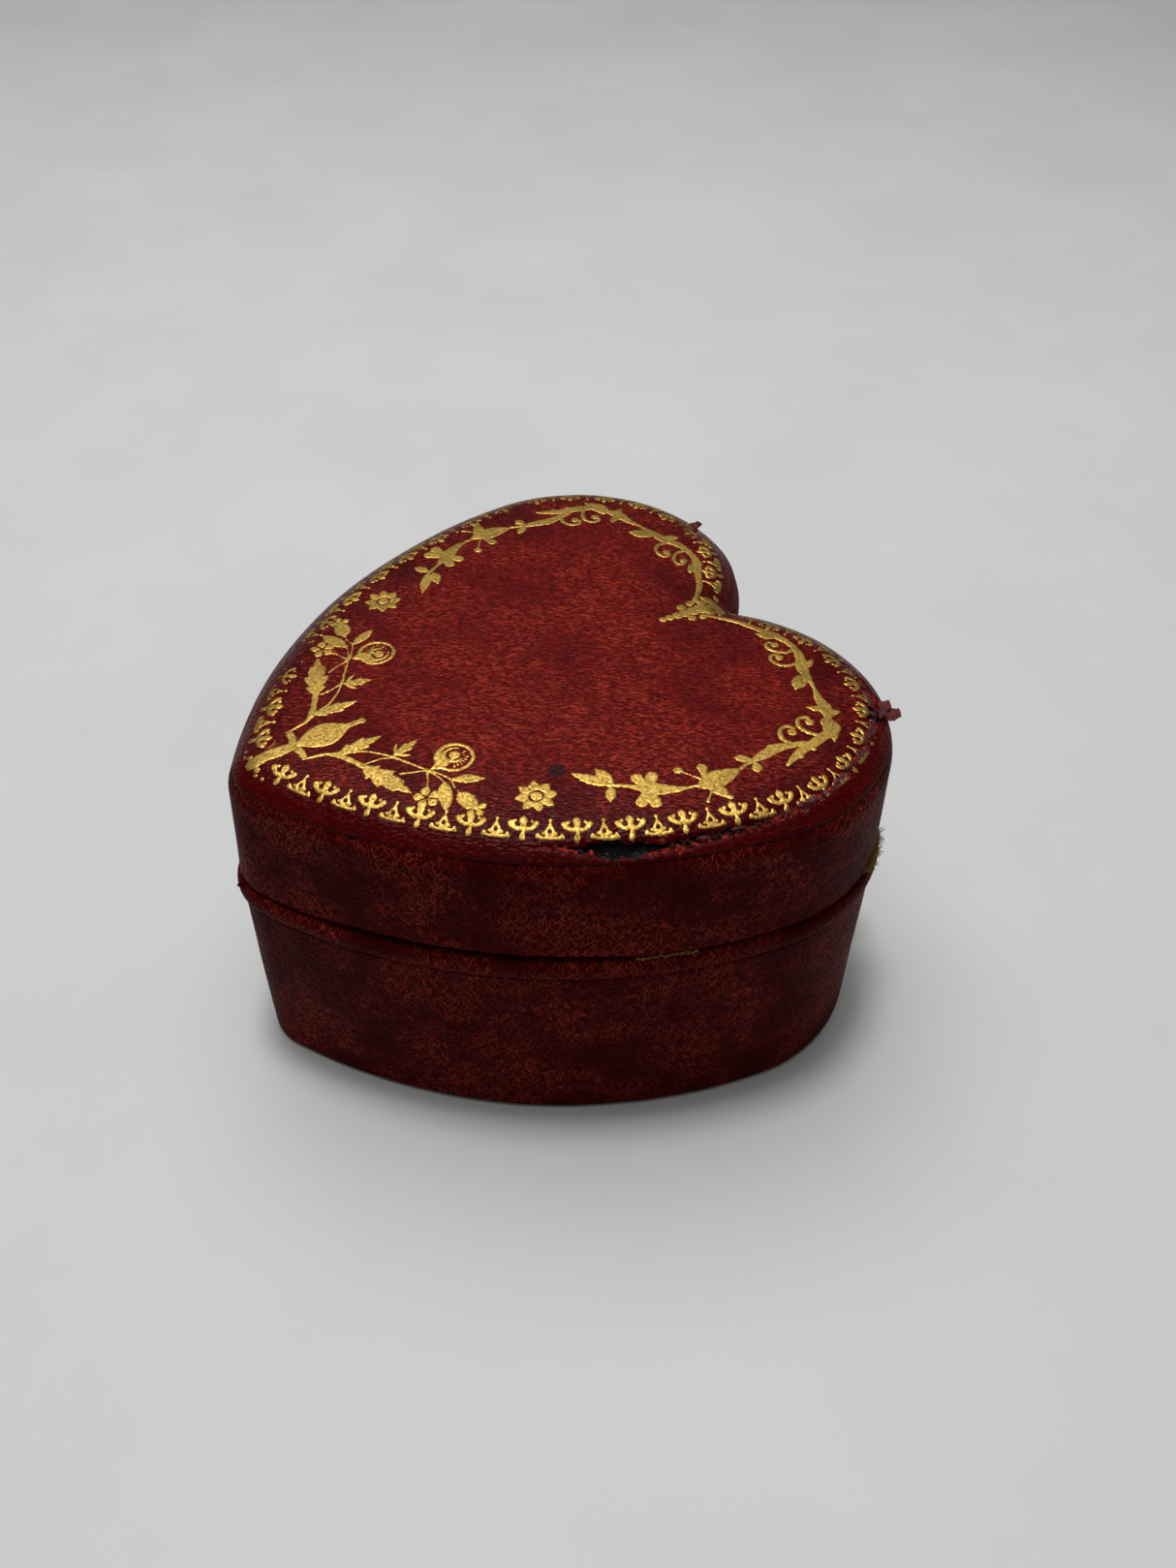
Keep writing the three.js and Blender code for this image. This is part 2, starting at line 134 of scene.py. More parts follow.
def flank_centre():
    """Centre of the flank's arc for +X, tangent inside to the lobe's circle and the tip's."""
    to_lobe = SIDE_RADIUS - LOBE_RADIUS
    to_tip = SIDE_RADIUS - TIP_RADIUS
    span = np.linalg.norm(TIP - LOBE)
    along = (TIP - LOBE) / span
    across = np.array([along[1], -along[0]])
    run = (to_lobe**2 - to_tip**2 + span**2) / (2 * span)
    return LOBE + along * run + across * math.sqrt(to_lobe**2 - run**2)


FLANK = flank_centre()


def bearing(point, centre):
    """Direction of a point from a centre, as an angle."""
    return math.atan2(point[1] - centre[1], point[0] - centre[0])


AT_TIP = bearing(TIP, FLANK)
AT_LOBE = bearing(LOBE, FLANK)
AT_CLEFT = bearing(CLEFT, LOBE)


def arc(centre, radius, start, end, steps):
    """Points along a circle, without the last one."""
    angle = np.linspace(start, end, steps, endpoint=False)
    return centre + radius * np.stack([np.cos(angle), np.sin(angle)], -1)


def half_outline(offset):
    """The +X half of the heart from the tip to the cleft; inside, the cleft is a round nose."""
    radius = LOBE_RADIUS + offset
    if offset < 0:
        end = AT_CLEFT
        nose = arc(CLEFT, -offset, end - HALF_TURN, -QUARTER_TURN, NOSE_STEPS)
        last = CLEFT + [0, offset]
    else:
        meeting = HALF_TURN - math.acos(LOBE_X / radius)
        end = meeting - NOSE_SLIVER
        nose = arc(LOBE, radius, end, meeting, NOSE_STEPS)
        last = np.array([0, LOBE_Y + math.sqrt(radius**2 - LOBE_X**2)])
    return np.vstack([
        arc(TIP, TIP_RADIUS + offset, -QUARTER_TURN, AT_TIP, TIP_STEPS),
        arc(FLANK, SIDE_RADIUS + offset, AT_TIP, AT_LOBE, FLANK_STEPS),
        arc(LOBE, radius, AT_LOBE, end, LOBE_STEPS),
        nose,
        [last],
    ])


def outline(offset):
    """The whole heart, moved out by an offset, from the tip round to the right."""
    right = half_outline(offset)
    left = right[1:-1][::-1] * [-1, 1]
    return np.vstack([right, left])


def along_outline():
    """Distance from the tip along the lid's outline at each point: + on the right, - on the left."""
    half = half_outline(-1e-6)
    steps = np.linalg.norm(np.diff(half, axis=0), axis=1)
    along = np.concatenate([[0], np.cumsum(steps)])
    return np.concatenate([along, -along[1:-1][::-1]])


ALONG = along_outline()


def inset(x, y):
    """Distance inwards from the lid's outline, for points inside it."""
    x = np.abs(x)

    def to_arc(centre, radius, start, end):
        dx, dy = x - centre[0], y - centre[1]
        angle = np.arctan2(dy, dx)
        inside = (angle >= start - ARC_OVERLAP) & (angle <= end + ARC_OVERLAP)
        return np.where(inside, radius - np.hypot(dx, dy), np.inf)

    return np.minimum.reduce([
        to_arc(TIP, TIP_RADIUS, -HALF_TURN, AT_TIP),
        to_arc(FLANK, SIDE_RADIUS, AT_TIP, AT_LOBE),
        to_arc(LOBE, LOBE_RADIUS, AT_LOBE, AT_CLEFT),
        np.hypot(x - CLEFT[0], y - CLEFT[1]),
    ])


# ---- The lid's domed top ------------------------------------------------------------


def membrane(pitch=0.6, rounds=2600):
    """A skin blown up over the heart: highest 1, and 0 at the outline. Returns its grid."""
    xs = np.arange(-LOBE_X - LOBE_RADIUS - 2, LOBE_X + LOBE_RADIUS + 2, pitch)
    ys = np.arange(LOBE_Y - TIP_REACH - 2, LOBE_Y + LOBE_RADIUS + 2, pitch)
    grid_x, grid_y = np.meshgrid(xs, ys)
    inside = inside_heart(grid_x, grid_y)
    height = np.zeros_like(grid_x)
    for _ in range(rounds):
        around = (
            np.roll(height, 1, 0) + np.roll(height, -1, 0)
            + np.roll(height, 1, 1) + np.roll(height, -1, 1)
        )
        height = np.where(inside, around / 4 + 0.01, 0)
    return xs, ys, height / height.max()


def inside_heart(x, y):
    """True inside the outline: inside a lobe, or between the two flanks."""
    side = np.abs(x)
    in_lobe = np.hypot(side - LOBE_X, y - LOBE_Y) < LOBE_RADIUS
    in_flank = np.hypot(side - FLANK[0], y - FLANK[1]) < SIDE_RADIUS
    in_tip = np.hypot(side, y - TIP[1]) < TIP_RADIUS
    below_lobes = (y < LOBE_Y) & in_flank & (y > TIP[1])
    return in_lobe | below_lobes | in_tip


DOME_XS, DOME_YS, DOME = membrane()


def dome(x, y):
    """The membrane's height at any points, between its grid's lines."""
    pitch = DOME_XS[1] - DOME_XS[0]
    column = np.clip((x - DOME_XS[0]) / pitch, 0, len(DOME_XS) - 1.001)
    row = np.clip((y - DOME_YS[0]) / pitch, 0, len(DOME_YS) - 1.001)
    c, r = column.astype(int), row.astype(int)
    fc, fr = column - c, row - r
    return (
        DOME[r, c] * (1 - fc) * (1 - fr) + DOME[r, c + 1] * fc * (1 - fr)
        + DOME[r + 1, c] * (1 - fc) * fr + DOME[r + 1, c + 1] * fc * fr
    )


def ripple(x, y, z=0.0):
    """Slow unevenness of hand-covered work, about -1 to 1, with waves of 8 to 30 mm."""
    return (
        np.sin(x * 0.31 + 1.3 * np.sin(y * 0.12) + z * 0.17)
        + np.sin(y * 0.27 + 1.1 * np.sin(x * 0.14 + 2.0) + z * 0.23)
        + 0.6 * np.sin(x * 0.62 + y * 0.55 + z * 0.41 + 0.7)
    ) / 2.6


def shoulder_height(depth):
    """Height over the straight wall of the quarter-round shoulder, at an inset."""
    cosine = 1 - np.clip(depth / SHOULDER_WIDTH, 0, 1)
    return SHOULDER_RISE * np.sqrt(1 - cosine**2)


def top_height(x, y):
    """Height of the lid's top skin: shoulder, dome and a slight unevenness."""
    depth = np.clip(inset(x, y), 0, None)
    return SHOULDER_Z + shoulder_height(depth) + DOME_RISE * dome(x, y) + DOME_RIPPLE * ripple(x, y)


# ---- Mesh building ------------------------------------------------------------------


def build_mesh(name, points, faces, material, attributes=None):
    """A smooth-shaded object from points in millimetres."""
    mesh = bpy.data.meshes.new(name)
    mesh.from_pydata((np.asarray(points) * MM).tolist(), [], faces)
    for key, values in (attributes or {}).items():
        layer = mesh.attributes.new(key, "FLOAT", "POINT")
        layer.data.foreach_set("value", np.asarray(values, np.float32))
    mesh.validate()
    mesh.shade_smooth()
    mesh.materials.append(material)
    piece = bpy.data.objects.new(name, mesh)
    bpy.context.scene.collection.objects.link(piece)
    return piece


def loft_faces(loops, count, closed=False):
    """Quads between loops of `count` points; `closed` joins the last loop to the first."""
    faces = []
    bands = loops if closed else loops - 1
    for band in range(bands):
        a, b = band * count, (band + 1) % loops * count
        for i in range(count):
            j = (i + 1) % count
            faces.append((a + i, a + j, b + j, b + i))
    return faces


def loft(profile):
    """Loops of points from (offset, height) pairs."""
    return np.array([
        np.column_stack([outline(offset), np.full(len(ALONG), height)])
        for offset, height in profile
    ])


def rounded(offset_from, z_from, offset_to, z_to, steps, bulge=1.0):
    """A quarter-round between two profile points, leaving the first one straight up or down."""
    turn = [QUARTER_TURN * i / steps for i in range(steps + 1)]
    return [
        (
            offset_from + (offset_to - offset_from) * (1 - math.cos(t)) ** bulge,
            z_from + (z_to - z_from) * math.sin(t) ** bulge,
        )
        for t in turn
    ]


def push_out(loops, amount):
    """Moves wall points sideways, away from the heart's middle line, by `amount`."""
    ahead = np.roll(loops, -1, 1) - np.roll(loops, 1, 1)
    length = np.hypot(ahead[..., 0], ahead[..., 1])
    normal = np.stack([ahead[..., 1], -ahead[..., 0]], -1) / length[..., None]
    loops[..., :2] += normal * amount[..., None]


def resample(profile, spacing):
    """The same profile with points about `spacing` apart."""
    points = np.array(profile, float)
    lengths = np.linalg.norm(np.diff(points, axis=0), axis=1)
    reached = np.concatenate([[0], np.cumsum(lengths)])
    count = max(2, int(reached[-1] / spacing))
    wanted = np.unique(np.concatenate([np.linspace(0, reached[-1], count), reached]))
    return list(zip(
        np.interp(wanted, reached, points[:, 0]), np.interp(wanted, reached, points[:, 1])
    ))


def hinge_room(loops):
    """True for points in the two notches where the hinges are let in."""
    across = np.abs(np.abs(loops[..., 0]) - HINGE_X)
    return (across < HINGE_HALF) & (loops[..., 1] > LEAF_FRONT)


def lean(points):
    """The lid's point leans in a little towards its top, as the hand-made case does."""
    up = np.clip((points[..., 2] - SEAM_Z) / (SHOULDER_Z - SEAM_Z), 0, 1)
    near_tip = np.clip((TIP[1] + 16 - points[..., 1]) / 22, 0, 1)
    points[..., 1] += TIP_LEAN * up * near_tip


def ring_piece(name, profile, material, wave=0.07, closed=False, extra=None, paint=None):
    """A wall, skin or lining that follows the heart, with a slow unevenness of `wave` mm."""
    loops = loft(profile)
    amount = wave * ripple(loops[..., 0], loops[..., 1], loops[..., 2])
    push_out(loops, amount)
    if extra:
        extra(loops)
    girth = np.concatenate([[0], np.cumsum(np.linalg.norm(np.diff(profile, axis=0), axis=1))])
    painted = {
        "along": np.tile(ALONG, len(profile)),
        "girth": np.repeat(girth, len(ALONG)),
        **(paint or {}),
    }
    faces = loft_faces(len(profile), len(ALONG), closed)
    return build_mesh(name, loops.reshape(-1, 3), faces, material, painted)


# ---- Wear on the lid's shoulder -----------------------------------------------------

# Along the right-hand shoulder, in mm from the tip: the height of the torn band on the
# shoulder (as an angle) and its half width.
TEAR_ALONG = [38, 43, 48, 54, 58, 64, 72, 80, 87, 93, 99, 106]
TEAR_ANGLE = [0.90, 0.86, 0.80, 0.80, 0.86, 0.92, 1.08, 1.22, 1.16, 1.00, 1.05, 1.2]
TEAR_WIDTH = [0.00, 0.10, 0.18, 0.15, 0.10, 0.09, 0.09, 0.07, 0.12, 0.22, 0.12, 0.0]


def jagged(a, b):
    """A broken line of ups and downs, for the torn edges: about -1 to 1."""
    return (
        np.sin(a * 2.9 + 2.1 * np.sin(a * 0.83 + b)) * 0.5
        + np.sin(a * 6.7 + b * 9.0 + 1.7 * np.sin(a * 2.3)) * 0.3
        + np.sin(a * 14.3 + b * 21.0) * 0.2
    )


def shoulder_angle(x, y):
    """Angle on the rounded shoulder: 0 at the wall, a quarter turn on top."""
    depth = np.clip(inset(x, y) / SHOULDER_WIDTH, 0, 1)
    return np.arccos(1 - depth)


def nearest_along(x, y):
    """Distance from the tip along the outline, for points near the shoulder."""
    side = np.abs(x)
    flank_angle = np.arctan2(y - FLANK[1], side - FLANK[0])
    lobe_angle = np.arctan2(y - LOBE[1], side - LOBE[0])
    tip_part = TIP_RADIUS * (AT_TIP + QUARTER_TURN)
    flank_part = SIDE_RADIUS * (AT_LOBE - AT_TIP)
    on_lobe = tip_part + flank_part + LOBE_RADIUS * (lobe_angle - AT_LOBE)
    on_flank = tip_part + SIDE_RADIUS * (flank_angle - AT_TIP)
    return np.sign(x) * np.where(flank_angle > AT_LOBE, on_lobe, on_flank)


def tear(x, y):
    """How torn the lid's skin is: 1 in the middle of the torn band, 0 away from it."""
    along = nearest_along(x, y)
    angle = shoulder_angle(x, y)
    middle = np.interp(along, TEAR_ALONG, TEAR_ANGLE, left=9, right=9)
    width = np.interp(along, TEAR_ALONG, TEAR_WIDTH, left=0, right=0)
    width = width * (1 + 0.5 * jagged(along, 0.0))
    off = np.abs(angle - middle - 0.05 * jagged(along, 3.0))
    return np.clip(1.3 - off / np.maximum(width, 0.01), 0, 1) * (width > 0.012)


def hollow_shade(x, y):
    """The crack under the tear's lower lip and the hole at the back of the lobe: the skin is dented there,
    and the material paints both near-black as painted shade.
    """
    along = nearest_along(x, y)
    middle = np.interp(along, TEAR_ALONG, TEAR_ANGLE, left=9, right=9)
    below = (middle - 0.02 + 0.05 * jagged(along, 6.0)) - shoulder_angle(x, y)
    deep = 0.2 * np.exp(-((along - 47.5) / 3.6) ** 2) + 0.06 * np.exp(-((along - 57) / 7.0) ** 2)
    half = deep * (1 + 0.5 * jagged(along * 1.4, 1.0))
    crack = np.clip(1.4 - np.abs(below) / np.maximum(half, 0.004), 0, 1) * (half > 0.008)
    off_hole = ((along - 92.8) / 1.8) ** 2 + ((shoulder_angle(x, y) - 0.95) / 0.24) ** 2
    hole = 1.1 * np.exp(-off_hole)
    return np.clip(np.maximum(crack, hole), 0, 1)


# ---- Materials ----------------------------------------------------------------------


def colour(code):
    """Linear RGBA from an sRGB hex code."""
    channels = [int(code[i:i + 2], 16) / 255 for i in (1, 3, 5)]
    linear = [c / 12.92 if c <= 0.04045 else ((c + 0.055) / 1.055) ** 2.4 for c in channels]
    return (*linear, 1.0)


def add(tree, kind, inputs=None, **settings):
    """Adds a node; `inputs` holds a value or another node's output for each socket."""
    made = tree.nodes.new(kind)
    for key, value in settings.items():
        setattr(made, key, value)
    for key, value in (inputs or {}).items():
        if isinstance(value, bpy.types.NodeSocket):
            tree.links.new(value, made.inputs[key])
        else:
            made.inputs[key].default_value = value
    return made


def new_material(name):
    """A material with its tree, its Principled shader and object coordinates in mm."""
    material = bpy.data.materials.new(name)
    material.use_nodes = True
    tree = material.node_tree
    shader = tree.nodes["Principled BSDF"]
    place = add(tree, "ShaderNodeTexCoord").outputs["Object"]
    return material, tree, shader, place


def millimetres(tree, place, scale=(1, 1, 1), turn=(0, 0, 0)):
    """Coordinates in which 1 is a millimetre, stretched by `scale` and turned by `turn`."""
    size = [s / MM for s in scale]
    turned = add(tree, "ShaderNodeMapping", {"Vector": place, "Rotation": turn})
    return add(tree, "ShaderNodeMapping", {"Vector": turned.outputs[0], "Scale": size}).outputs[0]


def ramp(tree, factor, stops):
    """A colour ramp from (position, hex) pairs."""
    made = add(tree, "ShaderNodeValToRGB", {"Fac": factor})
    elements = made.color_ramp.elements
    while len(elements) < len(stops):
        elements.new(0.5)
    for element, (position, code) in zip(elements, stops):
        element.position = position
        element.color = colour(code)
    return made.outputs["Color"]


def blend_colours(tree, factor, first, second, mode="MIX"):
    """A Mix node over two colours or sockets."""
    made = add(tree, "ShaderNodeMix", data_type="RGBA", blend_type=mode)
    sockets = {"factor": made.inputs[0], "first": made.inputs[6], "second": made.inputs[7]}
    for key, value in (("factor", factor), ("first", first), ("second", second)):
        if isinstance(value, bpy.types.NodeSocket):
            tree.links.new(value, sockets[key])
        else:
            sockets[key].default_value = value
    return made.outputs[2]


def sums(tree, operation, *values):
    """A Math node over values or sockets."""
    made = add(tree, "ShaderNodeMath", operation=operation)
    for socket, value in zip(made.inputs, values):
        if isinstance(value, bpy.types.NodeSocket):
            tree.links.new(value, socket)
        else:
            socket.default_value = value
    return made.outputs[0]


def between(tree, value, low, high, to_low=0.0, to_high=1.0):
    """A smooth step of a value from one range to another."""
    return add(tree, "ShaderNodeMapRange", {
        "Value": value, "From Min": low, "From Max": high, "To Min": to_low, "To Max": to_high,
    }, interpolation_type="SMOOTHSTEP").outputs[0]


GRAIN_TURN = math.radians(30)   # the hide's straight grain runs 30 degrees off the case's axis


def streaks(tree, flat, turn, length, width):
    """Thin broken lines in one direction on a flat plane in mm: 1 on a line, 0 off it."""
    turned = add(tree, "ShaderNodeMapping", {"Vector": flat, "Rotation": (0, 0, turn)}).outputs[0]
    drawn = add(tree, "ShaderNodeMapping", {"Vector": turned, "Scale": (1 / length, 1 / width, 1)})
    lines = add(tree, "ShaderNodeTexNoise", {
        "Vector": drawn.outputs[0], "Scale": 1.0, "Detail": 1.0, "Distortion": 0.3,
    }).outputs["Fac"]
    return between(tree, lines, 0.58, 0.68)


def goatskin(name, deep, middle, bright, scuff, scuffed, gloss, shine, fibres, wrapped=False,
             stain=None):
    """Straight-grained goatskin, dyed and polished by hand: creased pebbles about 0.3 by 0.7 mm,
    dark in the creases, rubbed orange on their tops, with raw red fibre where it is torn."""
    material, tree, shader, place = new_material(name)
    grain_place = millimetres(tree, place, (2.1, 0.9, 1.2), (0, 0, GRAIN_TURN))
    plain = millimetres(tree, place)
    pebbles = add(tree, "ShaderNodeTexVoronoi", {
        "Vector": grain_place, "Scale": 1.5, "Smoothness": 0.4,
    }, feature="SMOOTH_F1").outputs["Distance"]
    fine = add(tree, "ShaderNodeTexNoise", {
        "Vector": grain_place, "Scale": 1.5, "Detail": 2.5, "Roughness": 0.6,
    }).outputs["Fac"]
    patches = add(tree, "ShaderNodeTexNoise", {
        "Vector": plain, "Scale": 0.11, "Detail": 5.0, "Roughness": 0.62,
    }).outputs["Fac"]
    threads = add(tree, "ShaderNodeTexNoise", {
        "Vector": plain, "Scale": 1.3, "Detail": 3.0, "Roughness": 0.6, "Distortion": 1.4,
    }).outputs["Fac"]
    toward_middle = add(tree, "ShaderNodeAttribute", attribute_name="toward_middle").outputs["Fac"]
    mottle = sums(tree, "ADD", sums(tree, "MULTIPLY", fine, 0.75), sums(tree, "MULTIPLY", patches, 0.25))
    # Lighter towards the middle of the lid's top, from 3 mm inside its edge.
    mottle = sums(tree, "ADD", mottle, sums(tree, "MULTIPLY", toward_middle, 0.2))
    skin = ramp(tree, between(tree, mottle, 0.36, 0.84), [(0.0, deep), (0.5, middle), (1.0, bright)])
    crease = sums(tree, "MULTIPLY", between(tree, pebbles, 0.28, 0.62), 0.6)
    skin = blend_colours(tree, crease, skin, colour(deep))
    flat = plain
    if wrapped:
        along = add(tree, "ShaderNodeAttribute", attribute_name="along").outputs["Fac"]
        girth = add(tree, "ShaderNodeAttribute", attribute_name="girth").outputs["Fac"]
        flat = add(tree, "ShaderNodeCombineXYZ", {"X": along, "Y": girth}).outputs[0]
    scratch = 0.0
    for turn, length, width in fibres:
        scratch = sums(tree, "MAXIMUM", scratch, streaks(tree, flat, turn, length, width))
    rubbed = sums(tree, "ADD", patches, sums(tree, "MULTIPLY", toward_middle, 0.05))
    worn_here = between(tree, rubbed, 0.36, 0.62)
    scuff_here = sums(tree, "MULTIPLY", sums(tree, "MULTIPLY", scratch, scuffed), worn_here)
    if not wrapped:
        off_shoulder = sums(tree, "MINIMUM", 1.0, sums(tree, "MULTIPLY", toward_middle, 4.0))
        scuff_here = sums(tree, "MULTIPLY", scuff_here, off_shoulder)
    skin = blend_colours(tree, scuff_here, skin, colour(scuff))
    if stain:
        level = add(tree, "ShaderNodeVectorMath", {0: plain, 1: (1, 1, 0)}, operation="MULTIPLY")
        away = add(tree, "ShaderNodeVectorMath", {0: level.outputs[0], 1: stain}, operation="DISTANCE")
        edge = sums(tree, "ADD", away.outputs["Value"], sums(tree, "MULTIPLY", threads, 0.9))
        spot = between(tree, edge, 1.75, 1.2, 0.0, 0.85)
        skin = blend_colours(tree, spot, skin, colour("#1c0f12"))

    torn = add(tree, "ShaderNodeAttribute", attribute_name="tear").outputs["Fac"]
    # Painted shade: near-black painted into the crack, the hole, the crease under the top skin's edge and
    # the open seam.
    shade_mask = add(tree, "ShaderNodeAttribute", attribute_name="hollow_shade").outputs["Fac"]
    ragged = sums(tree, "MULTIPLY", sums(tree, "SUBTRACT", threads, 0.5), 1.8)
    torn_edge = between(tree, sums(tree, "ADD", torn, ragged), 0.45, 0.62)
    shade_paint = between(tree, sums(tree, "ADD", shade_mask, ragged), 0.42, 0.56)
    fibre = ramp(tree, fine, [(0.34, "#3c0a08"), (0.5, "#8c2016"), (0.66, "#b84a30")])
    skin = blend_colours(tree, torn_edge, skin, fibre)
    skin = blend_colours(tree, shade_paint, skin, colour("#0b0909"))
    tree.links.new(skin, shader.inputs["Base Color"])

    polished = add(tree, "ShaderNodeAttribute", attribute_name="polished").outputs["Fac"]
    polish = between(tree, sums(tree, "ADD", fine, sums(tree, "MULTIPLY", crease, 0.2)), 0.35, 0.75,
                     gloss + 0.16, gloss + 0.4)
    polish = sums(tree, "SUBTRACT", polish, sums(tree, "MULTIPLY", polished, 0.25))
    rough = sums(tree, "MAXIMUM", polish, sums(tree, "MULTIPLY", torn_edge, 0.85))
    tree.links.new(rough, shader.inputs["Roughness"])
    shader.inputs["Specular IOR Level"].default_value = shine
    height = sums(tree, "ADD", sums(tree, "MULTIPLY", pebbles, -1.0), sums(tree, "MULTIPLY", fine, 0.9))
    bump = add(tree, "ShaderNodeBump", {"Height": height, "Strength": 0.8, "Distance": 0.14 * MM})
    tree.links.new(bump.outputs[0], shader.inputs["Normal"])
    return material


def gold_leaf():
    """Gold leaf tooled hot into leather: bright metal that takes the grain under it, rubbed
    through to the red skin in specks, most of all near the worn shoulder."""
    material, tree, shader, place = new_material("tooled_gold_leaf")
    plain = millimetres(tree, place)
    grit = add(tree, "ShaderNodeTexNoise", {
        "Vector": plain, "Scale": 2.6, "Detail": 5.0, "Roughness": 0.75,
    }).outputs["Fac"]
    broad = add(tree, "ShaderNodeTexNoise", {
        "Vector": plain, "Scale": 0.3, "Detail": 3.0,
    }).outputs["Fac"]
    gold = ramp(tree, grit, [(0.32, "#74541a"), (0.48, "#b9923e"), (0.64, "#e6c473")])
    tone = between(tree, broad, 0.35, 0.65, 0.72, 1.0)
    gold = blend_colours(tree, 1.0, gold, add(tree, "ShaderNodeCombineColor", {
        "Red": tone, "Green": tone, "Blue": tone}).outputs[0], "MULTIPLY")
    rubbed = add(tree, "ShaderNodeAttribute", attribute_name="rub").outputs["Fac"]
    bare = between(tree, sums(tree, "ADD", grit, sums(tree, "MULTIPLY", rubbed, -0.5)), 0.31, 0.26)
    surface = blend_colours(tree, bare, gold, colour("#4c1011"))
    tree.links.new(surface, shader.inputs["Base Color"])
    tree.links.new(sums(tree, "SUBTRACT", 1.0, bare), shader.inputs["Metallic"])
    tree.links.new(between(tree, grit, 0.3, 0.7, 0.55, 0.36), shader.inputs["Roughness"])
    bump = add(tree, "ShaderNodeBump", {"Height": grit, "Strength": 0.5, "Distance": 0.12 * MM})
    tree.links.new(bump.outputs[0], shader.inputs["Normal"])
    return material


def silk_velvet():
    """Short-pile silk velvet in old gold: dark down the pile, a pale sheen where it turns
    away from the eye, and patches crushed by use."""
    material, tree, shader, place = new_material("old_gold_silk_velvet")
    plain = millimetres(tree, place)
    pile = add(tree, "ShaderNodeTexNoise", {
        "Vector": plain, "Scale": 3.0, "Detail": 5.0, "Roughness": 0.75,
    }).outputs["Fac"]
    crushed = add(tree, "ShaderNodeTexNoise", {
        "Vector": plain, "Scale": 0.12, "Detail": 3.0,
    }).outputs["Fac"]
    tone = sums(tree, "ADD", sums(tree, "MULTIPLY", pile, 0.6), sums(tree, "MULTIPLY", crushed, 0.5))
    tree.links.new(ramp(tree, tone, [(0.4, "#4f3410"), (0.55, "#8a6122"), (0.7, "#b98a3c")]),
                   shader.inputs["Base Color"])
    shader.inputs["Roughness"].default_value = 0.95
    shader.inputs["Sheen Weight"].default_value = 0.9
    shader.inputs["Sheen Roughness"].default_value = 0.35
    shader.inputs["Sheen Tint"].default_value = colour("#f2d9a0")
    bump = add(tree, "ShaderNodeBump", {"Height": pile, "Strength": 0.6, "Distance": 0.25 * MM})
    tree.links.new(bump.outputs[0], shader.inputs["Normal"])
    return material


def silk_satin():
    """Ivory silk satin: long floats 0.3 mm apart, drawn coarser than the real thread, give a
    soft directional gloss over slightly yellowed cloth."""
    material, tree, shader, place = new_material("ivory_silk_satin")
    plain = millimetres(tree, place)
    across = millimetres(tree, place, (3.3, 0.15, 1))
    floats = add(tree, "ShaderNodeTexNoise", {
        "Vector": across, "Scale": 1.0, "Detail": 3.0,
    }).outputs["Fac"]
    age = add(tree, "ShaderNodeTexNoise", {"Vector": plain, "Scale": 0.06, "Detail": 4.0}).outputs["Fac"]
    tone = sums(tree, "ADD", sums(tree, "MULTIPLY", floats, 0.4), sums(tree, "MULTIPLY", age, 0.7))
    tree.links.new(ramp(tree, tone, [(0.36, "#d6c39b"), (0.52, "#eee2c6"), (0.75, "#f8f1e0")]),
                   shader.inputs["Base Color"])
    shader.inputs["Roughness"].default_value = 0.38
    shader.inputs["Sheen Weight"].default_value = 0.25
    shader.inputs["Specular IOR Level"].default_value = 0.6
    bump = add(tree, "ShaderNodeBump", {"Height": floats, "Strength": 0.3, "Distance": 0.06 * MM})
    tree.links.new(bump.outputs[0], shader.inputs["Normal"])
    return material


def old_brass():
    """Drawn brass, filed and handled: warm metal under a brown patina in the hollows."""
    material, tree, shader, place = new_material("aged_drawn_brass")
    plain = millimetres(tree, place)
    patina = add(tree, "ShaderNodeTexNoise", {
        "Vector": plain, "Scale": 0.8, "Detail": 6.0, "Roughness": 0.65,
    }).outputs["Fac"]
    tree.links.new(ramp(tree, patina, [(0.35, "#4f3a1a"), (0.5, "#93702f"), (0.65, "#c9a252")]),
                   shader.inputs["Base Color"])
    shader.inputs["Metallic"].default_value = 1.0
    tree.links.new(between(tree, patina, 0.35, 0.65, 0.55, 0.28), shader.inputs["Roughness"])
    bump = add(tree, "ShaderNodeBump", {"Height": patina, "Strength": 0.25, "Distance": 0.08 * MM})
    tree.links.new(bump.outputs[0], shader.inputs["Normal"])
    return material


def fibrous(name, dark, pale, scale, rough):
    """Wood, card, wadding and paper inside the case: matt fibres, long in one direction."""
    material, tree, shader, place = new_material(name)
    fibres = add(tree, "ShaderNodeTexNoise", {
        "Vector": millimetres(tree, place, scale), "Scale": 1.0, "Detail": 5.0, "Roughness": 0.6,
    }).outputs["Fac"]
    tree.links.new(ramp(tree, fibres, [(0.35, dark), (0.65, pale)]), shader.inputs["Base Color"])
    shader.inputs["Roughness"].default_value = rough
    bump = add(tree, "ShaderNodeBump", {"Height": fibres, "Strength": 0.4, "Distance": 0.1 * MM})
    tree.links.new(bump.outputs[0], shader.inputs["Normal"])
    return material


ALONG_GRAIN = GRAIN_TURN - QUARTER_TURN
TOP_FIBRES = [(ALONG_GRAIN - 0.25, 0.8, 0.22), (ALONG_GRAIN + 0.3, 0.9, 0.24)]
SIDE_FIBRES = [(0.9, 1.7, 0.2), (-0.75, 1.5, 0.2), (1.6, 1.2, 0.18)]
lid_leather = goatskin(
    "crimson_goatskin_lid", "#360203", "#530505", "#6e0f0b", "#98311f", 0.8, 0.14, 0.05,
    TOP_FIBRES, stain=(18.4, LOBE_Y - 22.3, 0),
)
